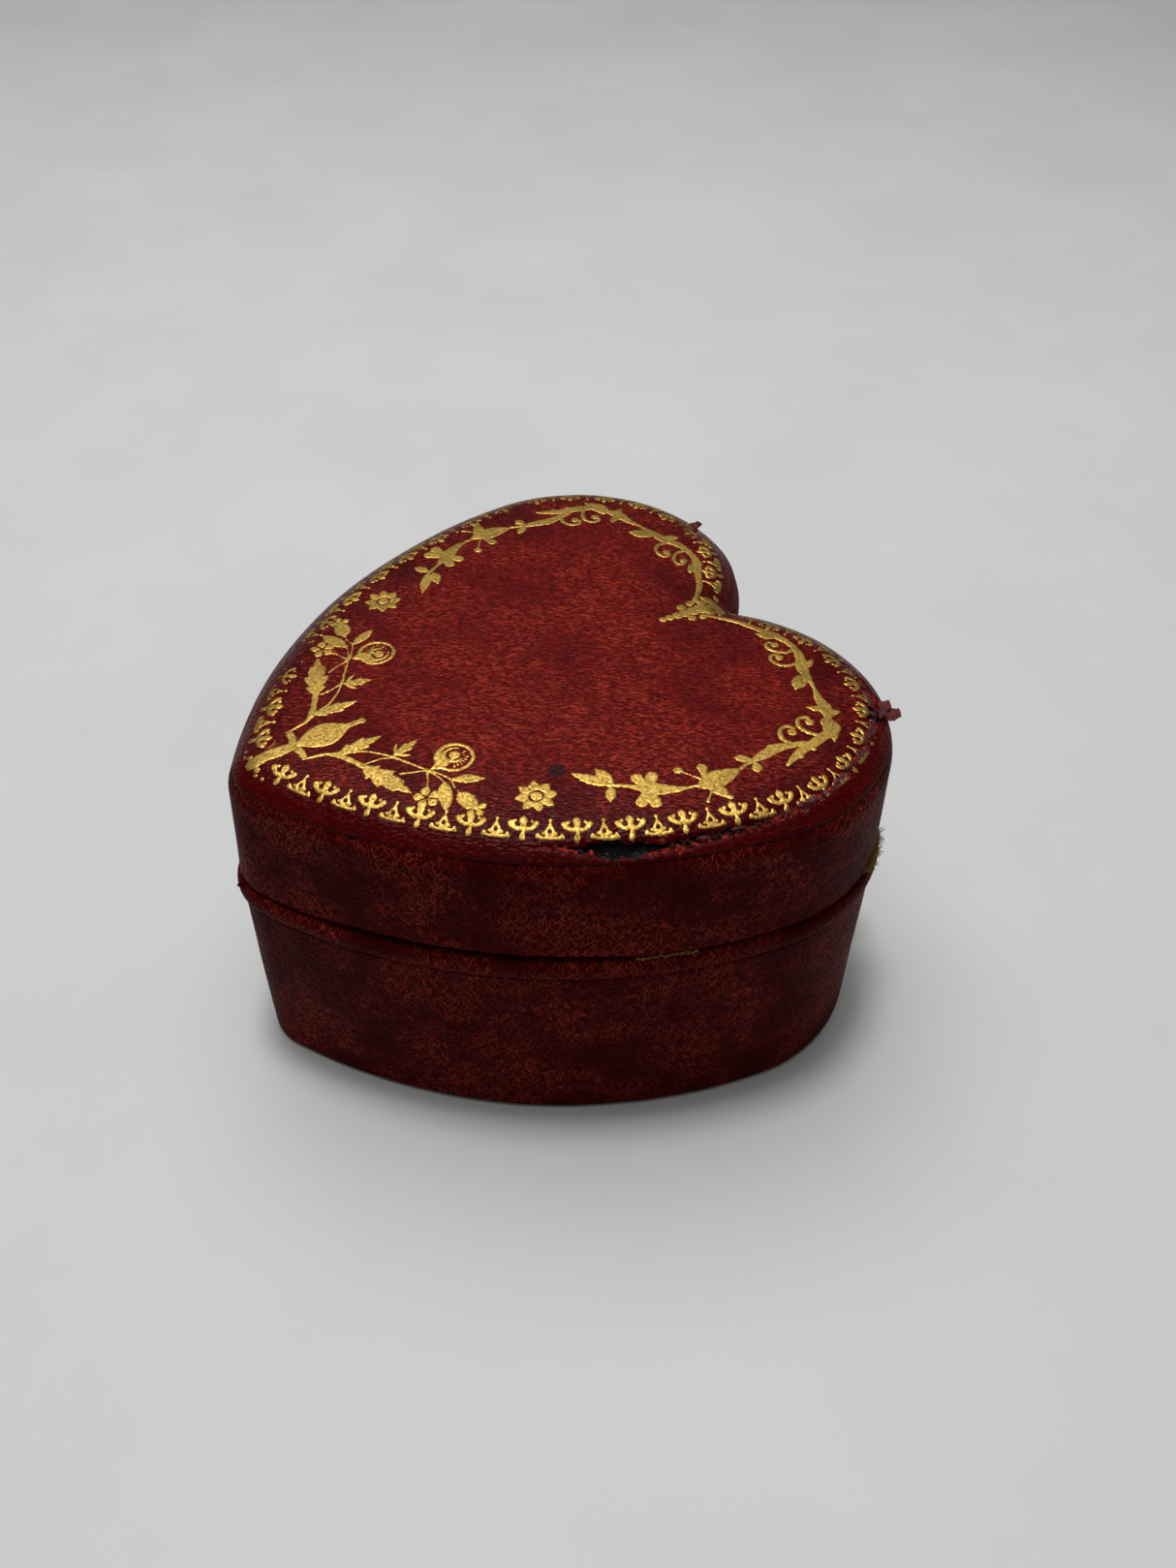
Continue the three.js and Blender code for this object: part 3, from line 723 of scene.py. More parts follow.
# Painted shade: the sides get darker colours than the top's, for the walls that turn away from the overhead
# light; their gloss and scuff marks are their own.
side_leather = goatskin(
    "goatskin_sides_shaded_darker", "#340102", "#480303", "#5c0706", "#8e3022", 0.85, 0.24, 0.02,
    SIDE_FIBRES, wrapped=True,
)
gilt = gold_leaf()
velvet = silk_velvet()
satin = silk_satin()
brass = old_brass()
# Lime, sawn thin and planed: pale straight grain, a third of a millimetre across, half matt
lime_wood = fibrous("planed_lime_wood", "#a07e52", "#cbb083", (3, 0.2, 3), 0.7)
# Pasteboard, rolled from rags: grey-brown, matt, mottled at about a millimetre
card = fibrous("grey_pasteboard", "#86745a", "#b5a27f", (1, 1, 1), 0.9)
# Carded cotton: off-white tufts a little over a millimetre across, without any gloss
wadding = fibrous("cotton_wadding", "#cfc6b2", "#efe9db", (0.8, 0.8, 0.8), 1.0)
# Glazed lining paper: dark brown fibres under a low polish
sole_paper = fibrous("brown_glazed_paper", "#24110f", "#452420", (0.6, 2.0, 1), 0.6)

# ---- Leather ------------------------------------------------------------------------


def shoulder_point(angle, lift=0.0):
    """(offset, height) on the shoulder, `lift` mm out from its surface."""
    return (
        -SHOULDER_WIDTH * (1 - math.cos(angle)) + lift * math.cos(angle),
        SHOULDER_Z + SHOULDER_RISE * math.sin(angle) + lift * math.sin(angle),
    )


def sag_of_lid_edge(along):
    """The lid's lower edge has lifted a little along the right-hand flank."""
    inner_end = 1 / (1 + np.exp(-(along - 13) / 2.0))
    outer_end = 1 / (1 + np.exp((along - 48) / 1.6))
    far_side = 0.12 * np.exp(-((along + 40) / 16.0) ** 2)
    return inner_end * outer_end * (0.6 + 0.08 * jagged(along * 0.3, 2.0)) + far_side


def lid_side():
    """The lid's side band, turned in under the rim and up under the edge of the top skin."""
    over_wood, above_collar = 0.35, 0.8
    inside = RIM_INNER - over_wood
    turned_in = [(inside, COLLAR_TOP + above_collar), (inside, SEAM_Z + 0.45), (inside + 0.2, SEAM_Z + 0.2)]
    under = turned_in + [(-1.1, SEAM_Z + 0.16)]
    edge = [(-0.75, SEAM_Z + 0.14), (-0.35, SEAM_Z + 0.1), (-0.1, SEAM_Z + 0.2), (0, SEAM_Z + 0.6)]
    wall = [(0, SHOULDER_Z)]
    turn = [shoulder_point(CREASE_ANGLE * i / 6) for i in range(1, 7)]
    tuck = [shoulder_point(CREASE_ANGLE + 0.06, -0.12), shoulder_point(CREASE_ANGLE + 0.2, -0.5)]
    profile = resample(under + edge + wall + turn + tuck, 0.5)
    offsets, heights = np.array(profile).T
    outward = np.clip((offsets + 1.1) / 0.5, 0, 1)[:, None]
    crease_z = shoulder_point(CREASE_ANGLE)[1]
    # Painted shade: a dark band painted along the crease under the top skin's edge.
    shaded = np.clip(1 - np.abs(heights - crease_z) / 0.45, 0, 1) * (offsets < 0)
    crease_and_gap_shade = (shaded[:, None] * (0.42 + 0.14 * jagged(ALONG * 0.4, 4.0))[None, :]).ravel()

    def lift_edge(loops):
        low = np.clip(1 - (loops[..., 2] - SEAM_Z) / 7, 0, 1)
        loops[..., 2] += sag_of_lid_edge(ALONG) * low**2 * outward
        room = hinge_room(loops)
        loops[..., 2] = np.where(room, np.maximum(loops[..., 2], LEAF_HIGH), loops[..., 2])
        lean(loops)

    return ring_piece("lid_side_band", profile, side_leather, extra=lift_edge,
                      paint={"hollow_shade": crease_and_gap_shade})


def lid_top():
    """The top skin from its pared edge at the crease, over the shoulder, to the crown."""
    angles = np.concatenate([
        [CREASE_ANGLE - 0.015, CREASE_ANGLE, CREASE_ANGLE + 0.02, CREASE_ANGLE + 0.05],
        np.linspace(CREASE_ANGLE + 0.09, QUARTER_TURN, 26),
    ])
    loops = []
    for angle in angles:
        offset, _ = shoulder_point(angle)
        points = outline(offset)
        loops.append(np.column_stack([points, top_height(points[:, 0], points[:, 1])]))
    last = loops[-1][:, :2]
    for scale in np.linspace(1, 0, 44)[1:-1] ** 0.9:
        points = HEART_MIDDLE + (last - HEART_MIDDLE) * scale
        loops.append(np.column_stack([points, top_height(points[:, 0], points[:, 1])]))
    loops = np.array(loops)
    x, y = loops[..., 0], loops[..., 1]
    # The crack and the hole are dented in below, and the material paints them near-black as painted shade.
    torn, shade_mask = tear(x, y), hollow_shade(x, y)
    lift = np.interp(shoulder_angle(x, y), [CREASE_ANGLE, CREASE_ANGLE + 0.05, 1.1], [0.0, 1.0, 0.0])
    lift[0] = -2.0
    push_out(loops, SKIN_STEP * lift * 0.8 - 0.35 * torn - 0.5 * shade_mask)
    loops[..., 2] += SKIN_STEP * lift * 0.6 - 0.25 * torn - 0.3 * shade_mask
    lean(loops)
    count = len(ALONG)
    crown = np.array([[*HEART_MIDDLE, top_height(*HEART_MIDDLE)]])
    points = np.vstack([loops.reshape(-1, 3), crown])
    faces = loft_faces(len(loops), count)
    start = (len(loops) - 1) * count
    faces += [(start + i, start + (i + 1) % count, len(points) - 1) for i in range(count)]
    toward_middle = np.clip((inset(x, y) - 3) / 12, 0, 1)
    polished = np.clip((shoulder_angle(x, y) - 0.72) / 0.1, 0, 1) * np.clip((13 - inset(x, y)) / 8, 0, 1)
    paint = {
        "polished": np.append(polished, 0),
        "tear": np.append(torn, 0), "hollow_shade": np.append(shade_mask, 0),
        "toward_middle": np.append(toward_middle, 1),
    }
    return build_mesh("lid_top_skin", points, faces, lid_leather, paint)


def base_skin():
    """The base's skin in one: turned under the foot, up the tapered wall, over the raised
    bead with a tooled crease under it, and in over the rim."""
    foot = rounded(-0.9, 0.35, -1.6, 0.25, 2)[::-1]
    foot = [(-2.2, 0.3)] + foot + [(-0.78, 0.6), (-0.7, 1.4)]
    wall = [(-0.3, BEAD_BOTTOM - 12), (-0.1, BEAD_BOTTOM - 0.8)]
    crease = [(-0.15, BEAD_BOTTOM - 0.35), (-0.5, BEAD_BOTTOM - 0.1), (-0.2, BEAD_BOTTOM + 0.12)]
    steps = 12
    middle = (BEAD_TOP + BEAD_BOTTOM) / 2
    bead = [
        (
            -0.3 + (BEAD_PROUD + 0.15) * math.cos(t) ** 0.8,
            middle + (BEAD_TOP - middle - 0.05) * math.sin(t),
        )
        for t in np.linspace(-1.25, 1.5, steps)
    ]
    rim = [(-1.0, BEAD_TOP + 0.1), (RIM_INNER - 0.25, BEAD_TOP + 0.1)]
    profile = resample(foot + wall + crease + bead + rim, 0.5)

    offsets, heights = np.array(profile).T
    # Painted shade: where the lid's edge has lifted, the rim's top inside the open seam is painted
    # near-black.
    in_gap = (offsets < -0.45) & (offsets > -1.05) & (heights > BEAD_TOP - 0.1)
    gap_open = np.clip((ALONG - 8) / 12, 0, 0.55) * np.clip((54 - ALONG) / 12, 0, 1)
    crease_and_gap_shade = (in_gap[:, None] * gap_open[None, :]).ravel()

    def notch(loops):
        room = hinge_room(loops)
        loops[..., 2] = np.where(room, np.minimum(loops[..., 2], LEAF_LOW), loops[..., 2])

    return ring_piece("base_skin", profile, side_leather, extra=notch, paint={"hollow_shade": crease_and_gap_shade})


def dress(piece, body, slot, *nodes):
    """Rides a piece on its body, in place of the CAD nodes; `slot` is not used."""
    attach(piece, body)
    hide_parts(*nodes)
    return piece


dress(lid_side(), "lid", "red_leather", "lid_side_leather")
dress(lid_top(), "lid", "red_leather", "lid_top_leather")
dress(base_skin(), "base", "red_leather", "base_side_leather", "base_rim_bead")

# ---- Gilt shapes --------------------------------------------------------------------


class Stamp:
    """A drawing on a grid of distances: below 0 is gold. Shapes are added with their mirror
    image in X when `mirrored`, and lines can be cut out of them again."""

    def __init__(self, low, high, mirrored):
        self.xs = np.arange(low[0], high[0], FOIL_PITCH)
        self.ys = np.arange(low[1], high[1], FOIL_PITCH)
        self.field = np.full((len(self.ys), len(self.xs)), 9.0)
        self.mirrored = mirrored

    def draw(self, shape, low, high, cut=False):
        """Applies shape(x, y) in the window between two corners."""
        for sign in ((1, -1) if self.mirrored else (1,)):
            a, b = sorted((low[0] * sign, high[0] * sign))
            columns = (self.xs >= a - 0.5) & (self.xs <= b + 0.5)
            rows = (self.ys >= low[1] - 0.5) & (self.ys <= high[1] + 0.5)
            window = np.ix_(rows, columns)
            x, y = np.meshgrid(self.xs[columns] * sign, self.ys[rows])
            distance = shape(x, y)
            old = self.field[window]
            new = np.maximum(old, -distance) if cut else np.minimum(old, distance)
            self.field[window] = new

    def stroke(self, points, widths, cut=False):
        """A smooth line through points, its half widths spread evenly along it."""
        line = smooth(np.array(points, float))
        radii = np.interp(np.linspace(0, 1, len(line)), np.linspace(0, 1, len(widths)), widths)

        def shape(x, y):
            best = np.full_like(x, 9.0)
            for a, b, ra, rb in zip(line, line[1:], radii, radii[1:]):
                run = b - a
                t = ((x - a[0]) * run[0] + (y - a[1]) * run[1]) / max(run @ run, 1e-9)
                t = np.clip(t, 0, 1)
                gap = np.hypot(x - a[0] - t * run[0], y - a[1] - t * run[1])
                best = np.minimum(best, gap - ra - (rb - ra) * t)
            return best

        reach = max(widths)
        self.draw(shape, line.min(0) - reach, line.max(0) + reach, cut)

    def dot(self, x, y, radius, cut=False):
        self.stroke([(x, y), (x, y)], [radius, radius], cut)

    def leaf(self, base, tip, width, teeth=0, fullest=0.45):
        """A pointed leaf from base to tip; `teeth` notches run along both edges."""
        base, tip = np.array(base, float), np.array(tip, float)
        length = np.linalg.norm(tip - base)
        axis = (tip - base) / length

        def shape(x, y):
            u = ((x - base[0]) * axis[0] + (y - base[1]) * axis[1]) / length
            v = np.abs((x - base[0]) * axis[1] - (y - base[1]) * axis[0])
            inside = np.clip(u, 0, 1)
            power = math.log(0.5) / math.log(fullest)
            half = width * np.sin(HALF_TURN * inside**power)
            if teeth:
                half = half * (0.72 + 0.42 * (inside * teeth % 1.0))
            beyond = np.maximum(np.maximum(-u, u - 1) * length, 0)
            return np.where(beyond > 0, np.hypot(beyond, v), (v - half) * 0.85)

        reach = width + 0.2
        corners = np.array([base, tip])
        self.draw(shape, corners.min(0) - reach, corners.max(0) + reach)

    def roughen(self, amount):
        """Breaks the edges up a little, as a hot tool does on grained skin."""
        x, y = np.meshgrid(self.xs, self.ys)
        self.field += amount * jagged(x * 1.7 + y * 0.6, y * 0.21 - x * 0.13)

    def surface(self):
        """Points (x, y, lift) and faces of the gold, its outline cut across the grid's cells."""
        self.roughen(0.07)
        field, points, faces, known = self.field, [], [], {}

        def corner(r, c):
            key = (r, c)
            if key not in known:
                known[key] = len(points)
                depth = min(1.0, -field[r, c] / 0.16)
                points.append((self.xs[c], self.ys[r], FOIL_RISE * depth - FOIL_SUNK * (1 - depth)))
            return known[key]

        def crossing(p, q):
            key = (p, q) if p < q else (q, p)
            if key not in known:
                known[key] = len(points)
                (r0, c0), (r1, c1) = key
                f0, f1 = field[r0, c0], field[r1, c1]
                t = f0 / (f0 - f1)
                points.append((
                    self.xs[c0] + (self.xs[c1] - self.xs[c0]) * t,
                    self.ys[r0] + (self.ys[r1] - self.ys[r0]) * t,
                    -FOIL_SUNK,
                ))
            return known[key]

        gold = field < 0
        touched = gold[:-1, :-1] | gold[1:, :-1] | gold[:-1, 1:] | gold[1:, 1:]
        for r, c in zip(*np.nonzero(touched)):
            ring = [(r, c), (r, c + 1), (r + 1, c + 1), (r + 1, c)]
            face = []
            for here, there in zip(ring, ring[1:] + ring[:1]):
                if gold[here]:
                    face.append(corner(*here))
                if gold[here] != gold[there]:
                    face.append(crossing(here, there))
            if len(face) > 2:
                faces.append(face)
        return np.array(points), faces


def smooth(points, steps=6):
    """A Catmull-Rom curve through the points."""
    if len(points) < 3:
        return points
    padded = np.vstack([2 * points[0] - points[1], points, 2 * points[-1] - points[-2]])
    line = []
    for a, b, c, d in zip(padded, padded[1:], padded[2:], padded[3:]):
        for t in np.linspace(0, 1, steps, endpoint=False):
            line.append(0.5 * (
                2 * b + (c - a) * t + (2 * a - 5 * b + 4 * c - d) * t**2
                + (3 * b - a - 3 * c + d) * t**3
            ))
    line.append(points[-1])
    return np.array(line)


def star(stamp, x, y, radius, petals, turn=0.0, width=0.3):
    """A flower of pointed petals about one point."""
    for i in range(petals):
        angle = turn + 2 * HALF_TURN * i / petals
        tip = (x + radius * math.cos(angle), y + radius * math.sin(angle))
        stamp.leaf((x, y), tip, radius * width, fullest=0.62)


def tip_bouquet(stamp):
    """On the middle line: a stem rising from the tip, tied in a bow under a long bud."""
    stamp.stroke([(0, -53.2), (0.15, -51.5), (-0.1, -49.5), (0, -47.4)], [0.5, 0.75, 0.8, 0.8])
    stamp.stroke([(0, -47.0), (1.1, -46.5), (2.1, -46.4)], [0.5, 0.55, 0.5])
    stamp.leaf((0, -46.9), (0, -39.4), 2.05, fullest=0.52)
    stamp.stroke([(0, -40.6), (0, -38.4)], [0.55, 0.42])
    stamp.dot(0, -38.1, 0.55)
    for x, y in ((0.9, -53.2), (1.8, -52.4), (0.0, -54.0), (2.7, -51.9), (1.2, -51.9)):
        stamp.dot(x, y, 0.42)
    for shift in (1.1, 1.5, 1.9):
        stamp.stroke([(shift * 0.6, -49.4), (shift, -48.3)], [0.04, 0.09])


def flower_spray(stamp):
    """One of the two sprays beside the bouquet: leaves, a sprig, a round flower and buds."""
    stamp.stroke([(2.6, -46.8), (2.9, -45.2), (3.3, -43.9), (4.0, -43.0)], [0.16, 0.24, 0.3, 0.45])
    stamp.leaf((3.9, -43.3), (3.6, -37.0), 0.95, teeth=3, fullest=0.5)
    stamp.stroke([(4.0, -43.0), (4.8, -40.4), (6.4, -38.5), (7.9, -37.3), (9.6, -36.2), (11.4, -35.0)],
                 [0.3, 0.2, 0.18, 0.25, 0.2, 0.2])
    stamp.leaf((7.5, -37.7), (6.3, -33.8), 0.75, teeth=3, fullest=0.5)
    for tip in ((5.5, -36.1), (8.5, -35.3)):
        stamp.leaf((7.3, -37.3), tip, 0.3)
    stamp.stroke([(3.9, -43.0), (5.9, -41.8), (7.8, -40.8)], [0.5, 0.42, 0.5])
    stamp.leaf((7.0, -41.3), (14.0, -38.0), 1.45, teeth=4, fullest=0.42)
    stamp.stroke([(7.0, -40.6), (7.1, -39.0), (7.6, -37.5)], [0.18, 0.16, 0.18])
    stamp.stroke([(10.4, -38.0), (11.0, -36.4), (11.4, -35.0)], [0.2, 0.16, 0.2])
    round_flower(stamp, 11.0, -31.4)
    stamp.stroke([(11.4, -35.0), (13.0, -35.7), (14.4, -36.5)], [0.2, 0.14, 0.3])
    star(stamp, 15.2, -36.9, 1.7, 5, turn=0.3, width=0.38)
    stamp.stroke([(11.4, -35.0), (13.2, -34.3), (14.3, -34.2)], [0.2, 0.14, 0.2])
    stamp.leaf((13.8, -34.0), (18.3, -36.0), 0.95, fullest=0.45)
    stamp.stroke([(11.4, -34.9), (13.0, -33.8), (14.3, -33.2)], [0.2, 0.18, 0.2])
    stamp.leaf((13.9, -33.5), (15.8, -29.7), 0.75, fullest=0.5)
    stamp.stroke([(14.2, -33.3), (15.6, -33.5), (16.8, -33.2)], [0.16, 0.12, 0.25])
    stamp.leaf((16.2, -33.5), (19.9, -32.6), 1.1, fullest=0.4)
    star(stamp, 19.2, -32.9, 1.5, 5, turn=0.2, width=0.34)


def round_flower(stamp, x, y):
    """A full-blown rose seen from the front: a curled heart inside a hatched outer petal."""
    stamp.leaf((x + 0.5, y - 3.6), (x, y + 0.6), 1.25, fullest=0.62)
    stamp.dot(x, y, 2.4)
    petal = [(x + 1.75 * math.cos(t), y + 1.75 * math.sin(t)) for t in np.linspace(-1.0, 3.6, 14)]
    stamp.stroke(petal, [0.07, 0.11, 0.07], cut=True)
    for t in np.linspace(-0.9, 2.2, 11):
        ray = [(x + r * math.cos(t), y + r * math.sin(t)) for r in (1.0, 1.5)]
        stamp.stroke(ray, [0.06, 0.1], cut=True)
    heart = [
        (x - 0.35 + 0.8 * math.cos(t), y + 0.2 + 0.8 * math.sin(t))
        for t in np.linspace(-0.4, 5.2, 14)
    ]
    stamp.stroke(heart, [0.08, 0.1, 0.06], cut=True)


def rosette(stamp, x, y):
    """An eight-petalled star flower with a ringed eye."""
    star(stamp, x, y, 2.5, 8, turn=0.45, width=0.26)
    ring = [(x + 0.78 * math.cos(t), y + 0.78 * math.sin(t)) for t in np.linspace(0, 6.3, 17)]
    stamp.dot(x, y, 1.05)
    stamp.stroke(ring, [0.05, 0.05], cut=True)


def curl(stamp, points, width):
    """A tendril that ends in a knob."""
    stamp.stroke(points, [width, width * 0.9, width * 0.8])
    stamp.dot(*points[-1], width * 1.7)


def vine(stamp):
    """The scroll that runs up the flank and round the lobe to the cleft."""
    stamp.leaf((23.4, -18.3), (19.4, -21.3), 0.8)
    stamp.leaf((23.2, -17.8), (20.1, -18.5), 0.8)
    stamp.leaf((23.5, -18.2), (25.7, -19.6), 0.7)
    stamp.stroke([(23.2, -18.4), (24.4, -16.6), (25.9, -14.7)], [0.35, 0.3, 0.7])
    for x, y in ((23.8, -15.1), (24.3, -13.5), (27.2, -16.5), (28.0, -15.2)):
        stamp.stroke([(25.9, -14.8), (x, y)], [0.5, 0.78])
    stamp.stroke([(25.9, -14.7), (27.1, -12.6), (27.7, -11.0), (28.0, -9.3)], [1.15, 0.65, 0.25, 0.2])
    stamp.leaf((28.2, -10.0), (27.9, -3.6), 1.35, fullest=0.42)
    stamp.leaf((28.4, -8.8), (30.6, -7.2), 0.9)
    stamp.stroke([(27.6, -8.6), (26.2, -9.6), (25.0, -10.3)], [0.22, 0.14, 0.16])
    stamp.dot(24.9, -10.4, 0.6)
    stamp.stroke([(27.6, -8.3), (26.4, -8.0), (25.8, -7.8)], [0.5, 0.45, 0.7])
    stamp.stroke([(29.3, -8.0), (30.3, -8.1), (31.1, -7.4)], [0.4, 0.3, 0.42])
    stamp.stroke([(29.0, -8.6), (29.9, -9.3), (30.5, -10.0)], [0.2, 0.14, 0.28])
    stamp.stroke([(27.9, -3.9), (27.6, -2.8), (27.4, -1.8)], [0.3, 0.3, 0.42])
    stamp.leaf((27.6, -1.6), (25.9, -3.8), 0.65, fullest=0.6)
    stamp.leaf((27.2, -1.7), (29.4, -2.5), 0.72, fullest=0.65)
    stamp.stroke([(27.4, -1.9), (27.2, -0.3), (26.9, 1.4), (27.2, 3.2), (27.6, 5.0)],
                 [0.45, 0.75, 0.8, 0.55, 0.45])
    curl(stamp, [(27.1, 3.6), (25.9, 3.1), (24.6, 3.7), (24.3, 4.8), (25.0, 5.3), (25.5, 4.8)], 0.36)
    curl(stamp, [(27.4, 7.4), (26.2, 6.4), (24.8, 6.1), (23.8, 6.9), (24.1, 7.9), (24.9, 7.7)], 0.36)
    stamp.stroke([(27.3, 8.9), (28.0, 6.6), (28.4, 4.4), (29.0, 2.8), (29.8, 1.2)],
                 [0.7, 0.75, 0.7, 0.6, 0.28])
    for x, y in ((29.3, 3.4), (28.9, 5.4), (27.2, 0.4), (26.4, 1.0)):
        stamp.dot(x, y, 0.42)
    stamp.stroke([(25.8, 9.6), (26.9, 9.4), (27.4, 8.8)], [0.9, 1.15, 0.8])
    stamp.leaf((26.8, 9.6), (29.1, 8.2), 0.65)
    stamp.stroke([(25.2, 10.0), (24.6, 10.6), (23.4, 10.9)], [0.45, 0.85, 0.95])
    stamp.leaf((24.4, 10.3), (25.1, 12.3), 0.6)
    stamp.leaf((23.9, 10.7), (22.4, 8.8), 0.6)
    stamp.stroke([(23.6, 10.9), (21.6, 11.3), (19.8, 12.0), (18.0, 12.4)], [0.9, 0.55, 0.28, 0.45])
    stamp.leaf((17.0, 12.6), (19.3, 9.6), 1.05, fullest=0.5)
    stamp.stroke([(18.2, 12.4), (16.0, 13.0), (14.0, 14.1), (12.2, 14.5), (10.6, 14.4), (9.2, 14.0)],
                 [0.5, 0.85, 0.65, 0.5, 0.5, 0.7])
    for line in (
        [(15.0, 13.0), (14.8, 11.4), (13.6, 10.5), (12.4, 10.8), (12.4, 11.7), (13.1, 11.7)],
        [(12.4, 14.4), (12.5, 12.9), (11.4, 11.7), (10.2, 11.6), (9.9, 12.4), (10.6, 12.7)],
    ):
        curl(stamp, line, 0.34)
    stamp.leaf((9.6, 14.3), (7.6, 11.7), 0.85, fullest=0.5)
    stamp.leaf((16.2, 13.2), (15.2, 15.3), 0.6)
    stamp.stroke([(9.2, 14.0), (6.6, 12.5), (4.3, 11.2), (2.6, 9.6), (1.4, 8.2)],
                 [0.75, 0.5, 0.45, 0.4, 0.35])


def cleft_berries(stamp):
    """On the middle line at the cleft: leaves and a tapering bunch of berries."""
    for y, radius in ((3.0, 0.58), (4.0, 0.66), (5.1, 0.78), (6.2, 0.86), (7.4, 0.95), (8.6, 1.05)):
        stamp.dot(0, y, radius)
    for x, y in ((1.3, 6.5), (1.6, 8.0), (1.2, 9.4)):
        stamp.dot(x, y, 0.65)
    stamp.stroke([(0, 8.6), (0, 12.6)], [0.8, 0.5])
    stamp.leaf((0.3, 11.6), (2.5, 9.9), 0.75)
    stamp.leaf((0.2, 12.4), (2.7, 12.3), 0.6)


def roll_motif():
    """One repeat of the roll that runs round the shoulder: a palmette, then a small pyramid
    between curled feet. X runs along the edge and Y inwards."""
    stamp = Stamp((-2.3, -0.4), (5.4, 3.4), mirrored=False)
    stamp.stroke([(0, 0.1), (0.05, 0.8), (0, 1.5)], [0.42, 0.26, 0.42])
    stamp.leaf((0, 0.9), (0, 2.9), 0.58, fullest=0.6)
    for side in (-1, 1):
        stamp.stroke([(0, 1.25), (side * 0.8, 1.15), (side * 1.35, 1.6)], [0.36, 0.3, 0.36])
        stamp.dot(side * 1.5, 1.85, 0.36)
        stamp.dot(side * 0.95, 2.1, 0.28)
    x = FRIEZE_PITCH / 2
    stamp.stroke([(x - 1.45, 0.3), (x, 0.1), (x + 1.5, 0.25)], [0.22, 0.2, 0.26])
    for side in (-1, 1):
        stamp.dot(x + side * 1.35, 0.45, 0.3)
        stamp.dot(x + side * 0.75, 0.72, 0.24)
    stamp.leaf((x, -0.1), (x, 2.2), 0.66, fullest=0.34)
    stamp.dot(x + 0.05, 2.3, 0.3)
    stamp.dot(x, 0.95, 0.17, cut=True)
    return stamp


def lay_on_lid(points):
    """Flat gilt points, their Z a lift, moved on to the lid's top."""
    x, y = points[:, 0], points[:, 1]
    laid = np.column_stack([x, y, top_height(x, y) + points[:, 2]])
    lean(laid)
    return laid


def rub(points):
    """How rubbed the gold is: most along the torn shoulder and at the tip."""
    x, y = points[:, 0], points[:, 1]
    at_tip = np.exp(-np.hypot(x, y - TIP[1]) / 6) * 0.25
    edge = np.clip((SHOULDER_WIDTH - inset(x, y)) / SHOULDER_WIDTH, 0, 1) * 0.18
    return np.clip(1.4 * tear(x, y) + at_tip + edge, 0, 1.5)


def gilt_panel():
    """The sprays, flowers and scroll on the lid, drawn once and mirrored."""
    low = (-LOBE_X - LOBE_RADIUS, -TIP_REACH)
    high = (LOBE_X + LOBE_RADIUS, LOBE_RADIUS)
    stamp = Stamp(low, high, mirrored=True)
    tip_bouquet(stamp)
    flower_spray(stamp)
    rosette(stamp, 20.9, -26.2)
    vine(stamp)
    cleft_berries(stamp)
    points, faces = stamp.surface()
    out = np.clip((-points[:, 0] - 12) / 6, 0, 1) * np.clip((points[:, 1] + 26) / 8, 0, 1)
    points[:, 0] -= FAR_SHIFT * out
    points[:, 1] += LOBE_Y
    laid = lay_on_lid(points)
    return build_mesh("gilt_sprays", laid, faces, gilt, {"rub": rub(laid)})


# ---- Geometry Nodes -----------------------------------------------------------------


def new_tree(name, inputs):
    """A Geometry Nodes tree with named inputs: {name: (socket type, default)}."""
    tree = bpy.data.node_groups.new(name, "GeometryNodeTree")
    tree.interface.new_socket("Geometry", in_out="INPUT", socket_type="NodeSocketGeometry")
    tree.interface.new_socket("Geometry", in_out="OUTPUT", socket_type="NodeSocketGeometry")
    for key, (kind, default) in inputs.items():
        socket = tree.interface.new_socket(key, in_out="INPUT", socket_type=kind)
        if default is not None:
            socket.default_value = default
    given = add(tree, "NodeGroupInput").outputs
    result = add(tree, "NodeGroupOutput").inputs["Geometry"]
    return tree, given, result


def grow(name, tree, values, start=None):
    """Runs a tree on a new object and returns its result as a plain mesh."""
    mesh = start or bpy.data.meshes.new(name)
    piece = bpy.data.objects.new(name, mesh)
    bpy.context.scene.collection.objects.link(piece)
    modifier = piece.modifiers.new("grow", "NODES")
    modifier.node_group = tree
    for item in tree.interface.items_tree:
        if item.in_out == "INPUT" and item.name in values:
            modifier[item.identifier] = values[item.name]
    graph = bpy.context.evaluated_depsgraph_get()
    done = bpy.data.meshes.new_from_object(piece.evaluated_get(graph), depsgraph=graph)
    piece.modifiers.clear()
    piece.data = done
    return piece


